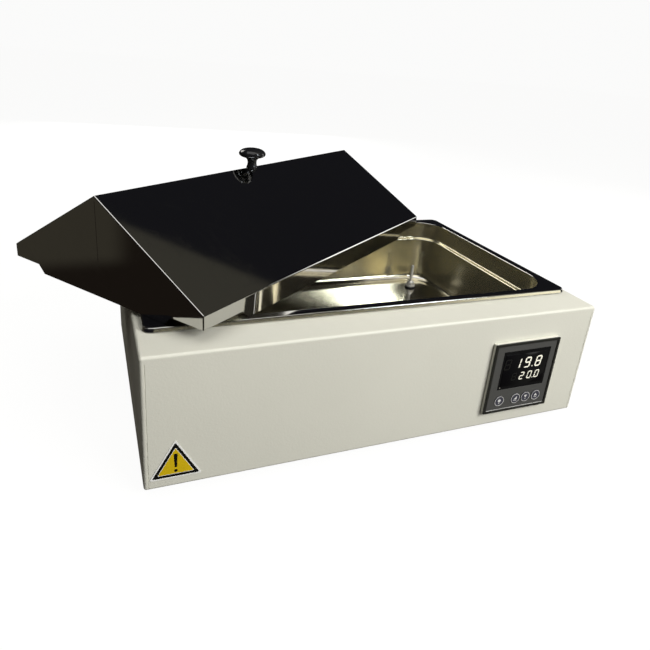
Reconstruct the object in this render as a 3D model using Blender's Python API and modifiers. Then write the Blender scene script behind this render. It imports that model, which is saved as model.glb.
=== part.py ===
"""Electric water bath: a powder-coated sheet casing, a deep-drawn steel tank, a
panel controller and a loose gabled steel lid that lies askew across the tank.

Design axes: X runs across the front from left to right, Y runs from the front
panel to the rear panel, Z is up.  All driving sizes below are in millimetres in a
design frame whose origin is the bottom of the casing's front face, at its middle;
the root empty carries everything to the part's own origin (middle of the bounding
box, on the plane of the feet).
"""
import math

import bmesh
import bpy
from mathutils import Matrix, Vector

MM = 0.001
MERGE = 0.00001
GAP = 0.3

# ------------------------------------------------------------------ casing
CASE_W, CASE_D, CASE_H = 545.0, 372.5, 150.0
SHEET = 1.2
FOLD_R = 3.0
RETURN = 14.0                 # width of the folded-in rims at the back and below
REAR_T = 1.2                  # rear panel
BASE_T = 1.2                  # base plate
FOOT_R, FOOT_H = 12.0, 8.0
FOOT_X, FOOT_Y0, FOOT_Y1 = 232.0, 42.0, 330.0

# ------------------------------------------------------------------ tank
RIM_X, RIM_Y = 265.0, 162.5   # half sizes of the flange
RIM_CY = 207.0                # middle of the tank, front to back
RIM_R = 10.0                  # flange corner
RIM_H = 5.5                   # flange above the casing
FLANGE = 13.0                 # flange width, edge to opening
OPEN_R = 45.0                 # corner of the opening
TANK_T = 0.8
TANK_DEPTH = 100.0
STEP_DOWN = 27.0              # stacking step under the rim
RIM_Z = CASE_H + RIM_H
FLOOR_Z = RIM_Z - TANK_DEPTH

# ------------------------------------------------------------------ controller
CTRL_X, CTRL_Z, CTRL = 172.5, 68.5, 96.0
BEZEL_T = 3.4
FRAME_BORDER = 3.5
WIN_W, WIN_H, WIN_DX, WIN_DZ = 69.5, 51.8, 1.4, 10.1
KEY_R, KEY_DZ = 6.75, -31.8
KEY_DX = (-27.0, -2.3, 13.2, 29.1)
KEY_TRAVEL = 0.6

# ------------------------------------------------------------------ lid
LID_L, LID_W = 500.0, 295.0
LID_RISE = 86.0
SKIRT, DROP = 15.0, 9.5       # corner skirt, and how much deeper it is between corners
NOTCH_L, NOTCH_W = 57.0, 42.0 # length of the shallow skirt from each corner
LID_T = 0.8
LID_X, LID_Y, LID_YAW = -212.97, 11.03, 36.41
LID_Z = RIM_Z + DROP + GAP    # underside of the shallow skirt
KNOB_H, KNOB_R, NECK_R = 25.0, 17.8, 6.0

# ------------------------------------------------------------------ rear fittings
INLET_X, SWITCH_X, FUSE_X, FIT_Z = 190.0, 140.0, 105.0, 27.0
ROCKER_TILT = 10.0

# ------------------------------------------------------------------ part origin
CORNER_TRIM = 0.417           # what the rounded fold takes off a corner of the lid
c, s = math.cos(math.radians(LID_YAW)), math.sin(math.radians(LID_YAW))
X_MIN = LID_X - s * LID_W + CORNER_TRIM
X_MAX = CASE_W / 2
Y_MIN = -6.9
Y_MAX = LID_Y + s * LID_L + c * LID_W - CORNER_TRIM
BASE_Z = -0.3 - BASE_T - GAP - FOOT_H
ORIGIN = Vector((-(X_MIN + X_MAX) / 2, -(Y_MIN + Y_MAX) / 2, -BASE_Z)) * MM

# ------------------------------------------------------------------ scene
for ob in list(bpy.data.objects):
    bpy.data.objects.remove(ob, do_unlink=True)


def collection(name):
    col = bpy.data.collections.new(name)
    bpy.context.scene.collection.children.link(col)
    return col


PARTS = collection("water_bath")
CUTTERS = collection("cutters")

ROOT = bpy.data.objects.new("bath_origin", None)
ROOT.location = ORIGIN
PARTS.objects.link(ROOT)
LID = bpy.data.objects.new("lid_pose", None)
LID.parent = ROOT
LID.location = Vector((LID_X, LID_Y, LID_Z)) * MM
LID.rotation_euler = (0, 0, math.radians(LID_YAW))
PARTS.objects.link(LID)


def material(name, color, rough, metal=0.0):
    mat = bpy.data.materials.new(name)
    mat.use_nodes = True
    bsdf = mat.node_tree.nodes["Principled BSDF"]
    bsdf.inputs["Base Color"].default_value = (*color, 1)
    bsdf.inputs["Roughness"].default_value = rough
    bsdf.inputs["Metallic"].default_value = metal
    mat.diffuse_color = (*color, 1)
    return mat


POWDER = ((0.78, 0.77, 0.71), 0.55, 0.0)
STEEL = ((0.62, 0.60, 0.56), 0.12, 1.0)
ZINC = ((0.60, 0.61, 0.62), 0.35, 1.0)
BLACK = ((0.02, 0.02, 0.02), 0.35, 0.0)
RUBBER = ((0.03, 0.03, 0.03), 0.8, 0.0)
WOOL = ((0.78, 0.74, 0.60), 0.95, 0.0)


def place(ob, look, loc=(0, 0, 0), rot=(0, 0, 0), parent=None, col=None):
    """Link an object, give it its own material and put it under its parent."""
    (col or PARTS).objects.link(ob)
    ob.parent = parent or ROOT
    ob.location = Vector(loc) * MM
    ob.rotation_euler = tuple(math.radians(a) for a in rot)
    if look is not None:
        ob.data.materials.clear()
        ob.data.materials.append(material(ob.name, *look))
    return ob


def as_cutter(ob):
    ob.hide_render = True
    ob.display_type = 'WIRE'
    return ob


def smooth(ob, angle=35):
    ob.data.shade_smooth()
    ob.data.set_sharp_from_angle(angle=math.radians(angle))
    return ob


def new_box(name, size):
    bm = bmesh.new()
    bmesh.ops.create_cube(bm, size=1.0)
    bmesh.ops.scale(bm, vec=Vector(size) * MM, verts=bm.verts)
    me = bpy.data.meshes.new(name)
    bm.to_mesh(me)
    bm.free()
    return bpy.data.objects.new(name, me)


def bevel(ob, width, segments=2, angle=30):
    mod = ob.modifiers.new("Bevel", 'BEVEL')
    mod.width = width * MM
    mod.segments = segments
    mod.limit_method = 'ANGLE'
    mod.angle_limit = math.radians(angle)
    return ob


def solidify(ob, thickness, offset=-1.0):
    mod = ob.modifiers.new("Solidify", 'SOLIDIFY')
    mod.thickness = thickness * MM
    mod.offset = offset
    mod.use_even_offset = True
    return ob


def boolean(ob, other, operation='DIFFERENCE'):
    mod = ob.modifiers.new("Boolean", 'BOOLEAN')
    mod.operation = operation
    mod.solver = 'EXACT'
    mod.object = other
    return ob


def new_turned(name, profile, steps=24, closed=False):
    """A profile of (radius, height) points, spun about Z."""
    bm = bmesh.new()
    vs = [bm.verts.new((r * MM, 0, z * MM)) for r, z in profile]
    for a, b in zip(vs[:-1], vs[1:]):
        bm.edges.new((a, b))
    if closed:
        bm.edges.new((vs[-1], vs[0]))
    me = bpy.data.meshes.new(name)
    bm.to_mesh(me)
    bm.free()
    ob = bpy.data.objects.new(name, me)
    mod = ob.modifiers.new("Screw", 'SCREW')
    mod.steps = steps
    mod.render_steps = steps
    mod.use_merge_vertices = True
    mod.merge_threshold = MERGE
    mod.use_smooth_shade = True
    return ob


def new_outline(name, loops, thickness):
    """A flat outline of closed loops in XY, extruded about Z = 0."""
    cu = bpy.data.curves.new(name, 'CURVE')
    cu.dimensions = '2D'
    cu.fill_mode = 'BOTH'
    cu.extrude = thickness / 2 * MM
    for pts in loops:
        sp = cu.splines.new('POLY')
        sp.points.add(len(pts) - 1)
        for p, (x, y) in zip(sp.points, pts):
            p.co = (x * MM, y * MM, 0, 1)
        sp.use_cyclic_u = True
    return bpy.data.objects.new(name, cu)


def evaluated(ob):
    """The object's evaluated mesh, welded; the object itself is removed."""
    linked = not ob.users_collection
    if linked:
        CUTTERS.objects.link(ob)
    graph = bpy.context.evaluated_depsgraph_get()
    me = bpy.data.meshes.new_from_object(ob.evaluated_get(graph))
    bm = bmesh.new()
    bm.from_mesh(me)
    bmesh.ops.remove_doubles(bm, verts=bm.verts, dist=MERGE)
    bmesh.ops.dissolve_limit(bm, angle_limit=math.radians(0.5), verts=bm.verts, edges=bm.edges)
    bmesh.ops.recalc_face_normals(bm, faces=bm.faces)
    bm.to_mesh(me)
    bm.free()
    name = ob.name
    bpy.data.objects.remove(ob, do_unlink=True)
    me.name = name
    return me


def solid_outline(name, loops, thickness):
    """An extruded outline as a mesh object, ready for a Boolean."""
    me = evaluated(new_outline(name, loops, thickness))
    return bpy.data.objects.new(name, me)


def group(name, mesh, matrices):
    """Copies of one mesh as separate solids of one object."""
    bm = bmesh.new()
    for m in matrices:
        one = mesh.copy()
        one.transform(m)
        bm.from_mesh(one)
        bpy.data.meshes.remove(one)
    me = bpy.data.meshes.new(name)
    bm.to_mesh(me)
    bm.free()
    return bpy.data.objects.new(name, me)


def at(x, y, z, rx=0, ry=0, rz=0):
    turn = (Matrix.Rotation(math.radians(rz), 4, 'Z') @ Matrix.Rotation(math.radians(ry), 4, 'Y')
            @ Matrix.Rotation(math.radians(rx), 4, 'X'))
    return Matrix.Translation(Vector((x, y, z)) * MM) @ turn


def rounded(hx, hy, r, n=6, cx=0.0, cy=0.0):
    """Points of a rounded rectangle, counter-clockwise."""
    pts = []
    for qx, qy, a0 in ((1, 1, 0), (-1, 1, 90), (-1, -1, 180), (1, -1, 270)):
        for i in range(n + 1):
            a = math.radians(a0 + 90 * i / n)
            pts.append((cx + qx * (hx - r) + r * math.cos(a), cy + qy * (hy - r) + r * math.sin(a)))
    return pts


def circle(r, n=16, cx=0.0, cy=0.0, start=0.0):
    return [(cx + r * math.cos(2 * math.pi * i / n + start), cy + r * math.sin(2 * math.pi * i / n + start))
            for i in range(n)]


def pan_screw(head_r, head_h, shank_r, length, steps=10):
    """A pan-head screw: the head's seat is at Z = 0 and the shank goes down."""
    return evaluated(new_turned("screw", [
        (0, head_h), (head_r * 0.7, head_h * 0.9), (head_r, head_h * 0.3), (head_r, 0), (shank_r, 0),
        (shank_r, -length), (0, -length)], steps))


def hex_nut(flats, hole_r, height):
    r = flats / math.sqrt(3)
    return evaluated(new_outline("nut", [circle(r, 6), circle(hole_r, 12)], height))


def tube(name, paths, radius, look, sides=2):
    """Round leads: one closed tube for each path of points."""
    cu = bpy.data.curves.new(name, 'CURVE')
    cu.dimensions = '3D'
    cu.bevel_depth = radius * MM
    cu.bevel_resolution = sides
    cu.use_fill_caps = True
    for pts in paths:
        sp = cu.splines.new('POLY')
        sp.points.add(len(pts) - 1)
        for p, q in zip(sp.points, pts):
            p.co = (*(Vector(q) * MM), 1)
    return place(bpy.data.objects.new(name, cu), look)


def flowing(knots, n=7):
    """A smooth run through the knots (Catmull-Rom)."""
    k = [Vector(p) for p in knots]
    k = [k[0] * 2 - k[1]] + k + [k[-1] * 2 - k[-2]]
    out = []
    for a, b, c2, d in zip(k[:-3], k[1:-2], k[2:-1], k[3:]):
        for i in range(n):
            t = i / n
            out.append(0.5 * ((2 * b) + (c2 - a) * t + (2 * a - 5 * b + 4 * c2 - d) * t * t
                              + (3 * b - a - 3 * c2 + d) * t ** 3))
    out.append(k[-2])
    return [tuple(p) for p in out]


# ================================================================== casing shell
# One folded sheet: front, top and two sides, with a folded-in rim round the
# open back and round the open bottom.
bm = bmesh.new()
bmesh.ops.create_cube(bm, size=1.0)
bmesh.ops.scale(bm, vec=Vector((CASE_W, CASE_D, CASE_H)) * MM, verts=bm.verts)
bm.faces.ensure_lookup_table()
open_faces = [f for f in bm.faces if f.normal.y > 0.9 or f.normal.z < -0.9]
bmesh.ops.inset_individual(bm, faces=open_faces, thickness=RETURN * MM, use_even_offset=True)
bmesh.ops.delete(bm, geom=open_faces, context='FACES_ONLY')
me = bpy.data.meshes.new("casing_shell")
bm.to_mesh(me)
bm.free()
shell = place(bpy.data.objects.new("casing_shell", me), POWDER, (0, CASE_D / 2, CASE_H / 2))
bevel(shell, FOLD_R, 3)
solidify(shell, SHEET)

tank_cut = as_cutter(place(solid_outline("tank_cut", [rounded(RIM_X - 8.5, RIM_Y - 8.5, 42, 6)], 20), None,
                           (0, RIM_CY, CASE_H), col=CUTTERS))
boolean(shell, tank_cut)
panel_cut = as_cutter(place(new_box("panel_cut", (92, 12, 92)), None, (CTRL_X, 0, CTRL_Z), col=CUTTERS))
boolean(shell, panel_cut)

REAR_SCREWS = [(x, z) for x in (-262, 262) for z in (7.0, 143.0)]
BASE_SCREWS = [(x, y) for x in (-264, 264) for y in (60, 312)]
rod = evaluated(new_turned("rod", [(0, 6), (1.9, 6), (1.9, -6), (0, -6)], 12))
rear_holes = as_cutter(place(group("rear_holes", rod, [at(x, CASE_D, z, rx=90) for x, z in REAR_SCREWS]), None,
                             col=CUTTERS))
base_holes = as_cutter(place(group("base_holes", rod, [at(x, y, 0) for x, y in BASE_SCREWS]), None, col=CUTTERS))
boolean(shell, rear_holes)
boolean(shell, base_holes)
smooth(shell)

# ================================================================== rear panel
rear = place(solid_outline("rear_panel", [rounded(CASE_W / 2 - 4, CASE_H / 2 - 3, 3, 3)], REAR_T), POWDER,
             (0, CASE_D + GAP + REAR_T / 2, CASE_H / 2), (90, 0, 0))
slot = evaluated(new_outline("slot", [rounded(1.6, 9, 1.5, 1)], 8))
vents = [at(-226 + 12 * i, CASE_D + 1, z, rx=90) for i in range(8) for z in (66, 92)]
vent_cut = as_cutter(place(group("vent_cut", slot, vents), None, col=CUTTERS))
boolean(rear, vent_cut)
boolean(rear, rear_holes)
fit_cut = as_cutter(place(group("fit_cut", evaluated(new_box("unit", (1000, 1000, 1000))), [
    Matrix.Translation(Vector((INLET_X, CASE_D, FIT_Z)) * MM) @ Matrix.Diagonal((0.028, 0.012, 0.023, 1)),
    Matrix.Translation(Vector((SWITCH_X, CASE_D, FIT_Z)) * MM) @ Matrix.Diagonal((0.0136, 0.012, 0.0200, 1))]),
    None, col=CUTTERS))
boolean(rear, fit_cut)
fuse_cut = as_cutter(place(group("fuse_cut", evaluated(new_turned("rod6", [(0, 6), (6.4, 6), (6.4, -6), (0, -6)], 20)),
                                 [at(FUSE_X, CASE_D, FIT_Z, rx=90)]), None, col=CUTTERS))
boolean(rear, fuse_cut)

for i, (x, z) in enumerate(REAR_SCREWS):
    place(bpy.data.objects.new(f"rear_screw_{i + 1}", pan_screw(3.4, 2.2, 1.5, 7)), ZINC,
          (x, CASE_D + GAP * 2 + REAR_T, z), (-90, 0, 0))

# ================================================================== base plate and feet
base = place(solid_outline("base_plate", [rounded(CASE_W / 2 - 4, CASE_D / 2 - 4, 3, 3)], BASE_T), ZINC,
             (0, CASE_D / 2, -GAP - BASE_T / 2))
boolean(base, base_holes)
FEET = [(x, y) for x in (-FOOT_X, FOOT_X) for y in (FOOT_Y0, FOOT_Y1)]
rod2 = evaluated(new_turned("rod2", [(0, 6), (2.4, 6), (2.4, -6), (0, -6)], 14))
foot_holes = as_cutter(place(group("foot_holes", rod2, [at(x, y, 0) for x, y in FEET]), None, col=CUTTERS))
boolean(base, foot_holes)
base_slots = as_cutter(place(group("base_slots", slot, [at(-142 + 12 * i, y, 0) for i in range(8) for y in (170,)]),
                             None, col=CUTTERS))
boolean(base, base_slots)
for i, (x, y) in enumerate(BASE_SCREWS):
    place(bpy.data.objects.new(f"base_screw_{i + 1}", pan_screw(3.4, 2.2, 1.5, 7)), ZINC,
          (x, y, -GAP * 2 - BASE_T), (180, 0, 0))

FOOT_TOP = -GAP - BASE_T - GAP
# Each foot is moulded round the head of its own stud.
for i, (x, y) in enumerate(FEET):
    place(new_turned(f"foot_{i + 1}", [
        (0, 7), (2.0, 7), (2.0, 0), (FOOT_R, 0), (FOOT_R, -2), (FOOT_R - 1.6, -FOOT_H + 0.6),
        (FOOT_R - 2.2, -FOOT_H), (0, -FOOT_H)], 16), RUBBER, (x, y, FOOT_TOP))

# ================================================================== tank
# Rounded loops from the lip that turns down on the casing, over the flange, down
# past the stacking step and into the floor.
D = RIM_X - RIM_Y
WALL = RIM_X - FLANGE
loops = [
    (RIM_X, CASE_H + GAP, RIM_R), (RIM_X, RIM_Z - 1.6, RIM_R), (RIM_X - 0.45, RIM_Z - 0.45, RIM_R),
    (RIM_X - 1.6, RIM_Z, RIM_R - 0.8),
    (WALL + 2.6, RIM_Z, OPEN_R + 2.0), (WALL + 0.8, RIM_Z - 0.8, OPEN_R + 0.5), (WALL, RIM_Z - 2.8, OPEN_R),
    (WALL - 1.2, RIM_Z - STEP_DOWN + 1.2, OPEN_R - 1.0), (WALL - 2.0, RIM_Z - STEP_DOWN, OPEN_R - 2.0),
    (WALL - 5.6, RIM_Z - STEP_DOWN - 1.4, OPEN_R - 6.0), (WALL - 6.4, RIM_Z - STEP_DOWN - 2.8, OPEN_R - 7.0),
    (WALL - 9.6, FLOOR_Z + 13.0, OPEN_R - 10.0), (WALL - 11.4, FLOOR_Z + 6.2, OPEN_R - 11.5),
    (WALL - 15.6, FLOOR_Z + 1.8, OPEN_R - 14.5), (WALL - 22.5, FLOOR_Z, OPEN_R - 19.0)]
bm = bmesh.new()
rings = []
for hx, z, r in loops:
    rings.append([bm.verts.new((x * MM, y * MM, z * MM)) for x, y in rounded(hx, hx - D, r, 5)])
for a, b in zip(rings[:-1], rings[1:]):
    for i in range(len(a)):
        j = (i + 1) % len(a)
        bm.faces.new((a[i], a[j], b[j], b[i]))
bm.faces.new(rings[-1])
bmesh.ops.recalc_face_normals(bm, faces=bm.faces)
bm.faces.ensure_lookup_table()
if bm.faces[len(bm.faces) - 1].normal.z < 0:
    bmesh.ops.reverse_faces(bm, faces=bm.faces)
me = bpy.data.meshes.new("tank")
bm.to_mesh(me)
bm.free()
tank = place(bpy.data.objects.new("tank", me), STEEL, (0, RIM_CY, 0))
solidify(tank, TANK_T)
PROBE_X, PROBE_Y = 194.0, 306.0
probe_cut = as_cutter(place(new_turned("probe_cut", [(0, 6), (5.4, 6), (5.4, -6), (0, -6)], 16), None,
                            (PROBE_X, PROBE_Y, FLOOR_Z), col=CUTTERS))
boolean(tank, probe_cut)
smooth(tank)

place(new_outline("tank_gasket", [rounded(RIM_X - 2.6, RIM_Y - 2.6, 9, 5), rounded(RIM_X - 7.6, RIM_Y - 7.6, 43, 5)],
                  RIM_H - TANK_T - 2 * GAP), RUBBER, (0, RIM_CY, CASE_H + (RIM_H - TANK_T) / 2))

# Angle rails welded to the front and back walls: they bear up under the casing top.
RAIL = [(0, 0), (1.5, 0), (1.5, 16), (10, 16), (10, 17.5), (0, 17.5)]
wall_y = WALL - D + TANK_T + 0.35
RAIL_Z = CASE_H - SHEET - GAP - 17.5
place(solid_outline("tank_rail_front", [RAIL], 360), ZINC, (0, RIM_CY - wall_y, RAIL_Z), (90, 0, -90))
place(solid_outline("tank_rail_rear", [RAIL], 360), ZINC, (0, RIM_CY + wall_y, RAIL_Z), (90, 0, 90))

# ================================================================== heating and insulation
TANK_UNDER = FLOOR_Z - TANK_T
place(bevel(new_box("heating_pad", (356, 200, 1.8)), 0.5, 1), ((0.55, 0.16, 0.07), 0.6, 0.0),
      (0, RIM_CY, TANK_UNDER - GAP - 0.9))
place(bevel(new_box("insulation_floor", (344, 210, 8)), 1.0, 1), WOOL, (4, RIM_CY, TANK_UNDER - GAP * 2 - 1.8 - 4))
place(new_outline("insulation_sides", [rounded(WALL + 3.6, WALL - D + 3.6, 46, 5),
                                       rounded(WALL - 4.6, WALL - D - 4.6, 39.5, 5)], 56), WOOL, (0, RIM_CY, 92))
place(new_turned("overheat_cutout", [(0, 0), (8, 0), (8, -3), (6.2, -3.4), (6.2, -9), (0, -9)], 14),
      ((0.35, 0.30, 0.24), 0.5, 0.0), (-196, RIM_CY, TANK_UNDER - GAP))

# ================================================================== temperature probe
place(new_turned("probe_rod", [(0, 40), (1.5, 39.4), (2.3, 38), (2.5, 36.4), (2.5, -12), (0, -12)], 12), STEEL,
      (PROBE_X, PROBE_Y, FLOOR_Z))
place(new_turned("probe_gland_nut", [
    (3.4, 11.5), (4.6, 11.0), (5.8, 9.6), (6.6, 7.6), (7.4, 6.2), (7.8, 4.6), (7.6, 2.6), (7.0, 2.1), (5.0, 2.1),
    (5.0, -10.0), (2.9, -10.0), (2.9, 11.2)], 14, closed=True), STEEL, (PROBE_X, PROBE_Y, FLOOR_Z))
place(new_turned("probe_seal", [(8.6, 1.8), (8.6, 0.3), (5.4, 0.3), (5.4, 1.8)], 14, closed=True), RUBBER,
      (PROBE_X, PROBE_Y, FLOOR_Z))
place(bpy.data.objects.new("probe_lock_nut", hex_nut(16, 5.4, 4)), ZINC, (PROBE_X, PROBE_Y, TANK_UNDER - GAP - 2))

# ================================================================== controller
ctrl = lambda dx, y, dz: (CTRL_X + dx, y, CTRL_Z + dz)
FACE = (90, 0, 0)             # outline X stays X, outline Y becomes Z, outline normal faces the front
H = CTRL / 2
bez = place(bevel(solid_outline("controller_bezel", [rounded(H, H, 1.2, 2), rounded(H - 2, H - 2, 0.8, 2)],
                                BEZEL_T), 0.4, 1, 60), POWDER, ctrl(0, -GAP - BEZEL_T / 2, 0), FACE)
Y_FRAME = -GAP * 2 - BEZEL_T
frame = place(bevel(solid_outline("controller_frame", [rounded(H, H, 1.2, 2), rounded(H - FRAME_BORDER, H - FRAME_BORDER, 0.8, 2)],
                                  1.8), 0.35, 1, 60), BLACK, ctrl(0, Y_FRAME - 0.9, 0), FACE)
HO = H - FRAME_BORDER - GAP
overlay = place(solid_outline("keypad_overlay", [rounded(HO, HO, 0.6, 2)], 0.8), ((0.10, 0.10, 0.105), 0.5, 0.0),
                ctrl(0, Y_FRAME - 0.4, 0), FACE)
key_rod = evaluated(new_turned("key_rod", [(0, 4), (KEY_R + GAP, 4), (KEY_R + GAP, -4), (0, -4)], 16))
key_cut = as_cutter(place(group("key_cut", key_rod, [at(CTRL_X + dx, Y_FRAME, CTRL_Z + KEY_DZ, rx=90) for dx in KEY_DX]),
                          None, col=CUTTERS))
win_cut = as_cutter(place(new_box("win_cut", (WIN_W + 0.6, 8, WIN_H + 0.6)), None, ctrl(WIN_DX, Y_FRAME, WIN_DZ),
                          col=CUTTERS))
boolean(overlay, key_cut)
boolean(overlay, win_cut)
place(bevel(new_box("display_window", (WIN_W, 0.8, WIN_H)), 0.15, 1), ((0.005, 0.005, 0.006), 0.1, 0.0),
      ctrl(WIN_DX, Y_FRAME - 0.4, WIN_DZ))

# Seven-segment digits: centre across and down the face, height of the digit.
SEGMENTS = {'0': "abcdef", '1': "bc", '2': "abged", '8': "abcdefg", '9': "abcdfg"}


def segment_boxes(ch, cx, cz, h, w, t):
    """Middle and size of each bar of one digit."""
    bars = {'a': (0, h / 2, w - t, t), 'g': (0, 0, w - t, t), 'd': (0, -h / 2, w - t, t),
            'b': (w / 2, h / 4, t, h / 2 - t), 'c': (w / 2, -h / 4, t, h / 2 - t),
            'f': (-w / 2, h / 4, t, h / 2 - t), 'e': (-w / 2, -h / 4, t, h / 2 - t)}
    return [(cx + bars[k][0] + 0.12 * bars[k][1], cz + bars[k][1], bars[k][2] * 0.94, bars[k][3] * 0.94)
            for k in SEGMENTS[ch]]


cells = []
for ch, u, v, h in (('1', .391, .305, 12.9), ('9', .545, .305, 12.9), ('8', .716, .305, 12.9),
                    ('2', .492, .494, 9.2), ('0', .615, .494, 9.2), ('0', .731, .494, 9.2)):
    cells += segment_boxes(ch, (u - 0.5) * CTRL, (0.5 - v) * CTRL, h, h * 0.58, h * 0.125)
cells += [((.627 - .5) * CTRL, (.5 - .368) * CTRL, 1.6, 1.6), ((.674 - .5) * CTRL, (.5 - .541) * CTRL, 1.2, 1.2)]
unit = evaluated(new_box("unit_cell", (1000, 1000, 1000)))
Y_LIT = Y_FRAME - 0.8 - GAP
lit = place(new_box("display_digits", (WIN_W - 6, 0.2, WIN_H - 8.6)), ((0.95, 0.93, 0.80), 0.4, 0.0), ctrl(WIN_DX, Y_LIT - 0.1, WIN_DZ))
bars = as_cutter(place(group("digit_bars", unit, [
    Matrix.Translation(Vector(ctrl(x, Y_LIT - 0.2, z)) * MM) @ Matrix.Diagonal((w * MM, 0.3 * MM, d * MM, 1))
    for x, z, w, d in cells]), None, col=CUTTERS))
boolean(lit, bars, 'UNION')
place(new_turned("status_led", [(0, 0.2), (0.9, 0.2), (0.9, 0), (0, 0)], 12), ((0.45, 0.40, 0.30), 0.4, 0.0),
      ctrl((.187 - .5) * CTRL, Y_LIT, (.5 - .635) * CTRL), FACE)

# Keys: a cap through the overlay, a retaining collar behind it and a stem.
KEY_NAMES = ("button_set", "button_shift", "button_down", "button_up")
for name, dx in zip(KEY_NAMES, KEY_DX):
    place(new_turned(name, [(0, 1.7), (KEY_R - 0.6, 1.7), (KEY_R, 1.1), (KEY_R, -0.3), (7.2, -0.3),
                            (7.2, -1.3), (2.5, -1.3), (2.5, -6.4), (0, -6.4)], 16), ((0.16, 0.16, 0.17), 0.45, 0.0),
          ctrl(dx, Y_FRAME, KEY_DZ), FACE)
place(bevel(new_box("display_module", (66, 7.0, 48)), 0.5, 1), ((0.04, 0.05, 0.04), 0.5, 0.0),
      ctrl(WIN_DX, Y_FRAME + GAP + 3.5, WIN_DZ))
board = place(new_box("controller_board", (86, 1.6, 86)), ((0.02, 0.16, 0.07), 0.5, 0.0), ctrl(0, Y_FRAME + 10.5, 0))
tacts = as_cutter(place(group("tact_switches", evaluated(new_box("tact", (6, 3.2, 6))),
                              [at(CTRL_X + dx, Y_FRAME + 8.8, CTRL_Z + KEY_DZ) for dx in KEY_DX]), None, col=CUTTERS))
boolean(board, tacts, 'UNION')

housing = place(bevel(new_box("controller_housing", (91, 50, 91)), 1.0, 1), BLACK, ctrl(0, Y_FRAME + GAP + 25, 0))
bore = as_cutter(place(new_box("housing_bore", (87.4, 50.2, 87.4)), None, ctrl(0, Y_FRAME + GAP + 23.1, 0), col=CUTTERS))
boolean(housing, bore)

# ================================================================== power electronics
comb = []
for i in range(14):
    x0 = -50 + 7.5 * i
    comb += ([(x0, 12)] if i else []) + [(x0, 0), (x0 + 2.5, 0)] + ([(x0 + 2.5, 12)] if i < 13 else [])
comb += [(50, 16), (-50, 16)]
RX, RY = -100.0, 170.0
sink = place(solid_outline("relay_heat_sink", [comb], 60), ((0.72, 0.73, 0.74), 0.4, 1.0), (RX, RY, 0.3), FACE)
relay = place(bevel(new_box("solid_state_relay", (57, 44, 21)), 1.0, 1), ((0.80, 0.78, 0.70), 0.5, 0.0),
              (RX, RY, 16.3 + GAP + 10.5))
place(solid_outline("terminal_block", [[(-11, 0), (11, 0), (11, 9), (7, 9), (7, 17), (-7, 17), (-7, 9), (-11, 9)]], 70),
      ((0.86, 0.85, 0.80), 0.5, 0.0), (60, 330, 0.3), (90, 0, 90))

# ================================================================== rear fittings
YR = CASE_D + GAP + REAR_T
inlet = place(bevel(new_box("power_inlet", (48, 3, 28)), 1.2, 1), BLACK, (INLET_X, YR + GAP + 1.5, FIT_Z))
body = as_cutter(place(new_box("inlet_body", (27.2, 27, 22.2)), None, (INLET_X, YR + GAP + 1.4 - 13.5, FIT_Z), col=CUTTERS))
boolean(inlet, body, 'UNION')
cavity = as_cutter(place(solid_outline("inlet_cavity", [[(-12, -7.8), (12, -7.8), (12, 3.2), (7.5, 7.8), (-7.5, 7.8), (-12, 3.2)]], 24),
                         None, (INLET_X, YR + GAP + 4 - 12, FIT_Z), FACE, col=CUTTERS))
boolean(inlet, cavity)
pins = as_cutter(place(group("inlet_pins", evaluated(new_box("pin", (2, 18, 4))), [
    at(INLET_X - 7, YR - 13, FIT_Z - 3), at(INLET_X, YR - 13, FIT_Z + 1), at(INLET_X + 7, YR - 13, FIT_Z - 3)]),
    None, col=CUTTERS))
boolean(inlet, pins, 'UNION')
switch = place(bevel(solid_outline("switch_frame", [rounded(10.5, 14, 1.2, 2), rounded(5.4, 8.6, 0.5, 2)], 2.2), 0.5, 1, 60),
               BLACK, (SWITCH_X, YR + GAP + 1.1, FIT_Z), FACE)
tub = as_cutter(place(solid_outline("switch_tub", [rounded(6.5, 9.7, 0.6, 2), rounded(5.4, 8.6, 0.5, 2)], 19), None,
                      (SWITCH_X, YR + GAP + 1.0 - 9.5, FIT_Z), FACE, col=CUTTERS))
boolean(switch, tub, 'UNION')
tub_floor = as_cutter(place(new_box("switch_floor", (12.6, 1.5, 19.0)), None, (SWITCH_X, YR + GAP + 1.0 - 18.6, FIT_Z), col=CUTTERS))
boolean(switch, tub_floor, 'UNION')
# The rocker turns on a line along X, just behind the frame's face.
rocker = place(solid_outline("switch_rocker", [[(-5.6, 2.2), (-7.6, 4.6), (-5.0, 4.2), (0, 2.6), (5.0, 4.2), (7.6, 4.6),
                                                (5.6, 2.2), (1.6, -5.0), (-1.6, -5.0)]], 9.8),
               ((0.03, 0.03, 0.03), 0.3, 0.0), (SWITCH_X, YR + GAP + 0.4, FIT_Z))
rocker.rotation_euler = (Matrix.Rotation(math.radians(ROCKER_TILT), 3, 'X') @ Matrix(((0, 0, 1), (0, 1, 0), (-1, 0, 0)))).to_euler()
place(new_turned("fuse_holder", [(0, 11), (4.6, 11), (5.4, 10.4), (5.8, 3.4), (8.6, 3.0), (8.8, 2.4), (8.8, 0.3), (6.0, 0.3),
                                 (6.0, -22), (0, -22)], 14), BLACK, (FUSE_X, YR, FIT_Z), (-90, 0, 0))
place(new_turned("earth_stud", [(0, 14), (1.7, 14), (2.0, 13.4), (2.0, 6), (4.6, 6), (4.6, 3.2), (5.4, 3.2), (5.4, 0.3), (0, 0.3)], 12),
      ((0.70, 0.62, 0.35), 0.3, 1.0), (215, 335, 0))

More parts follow.
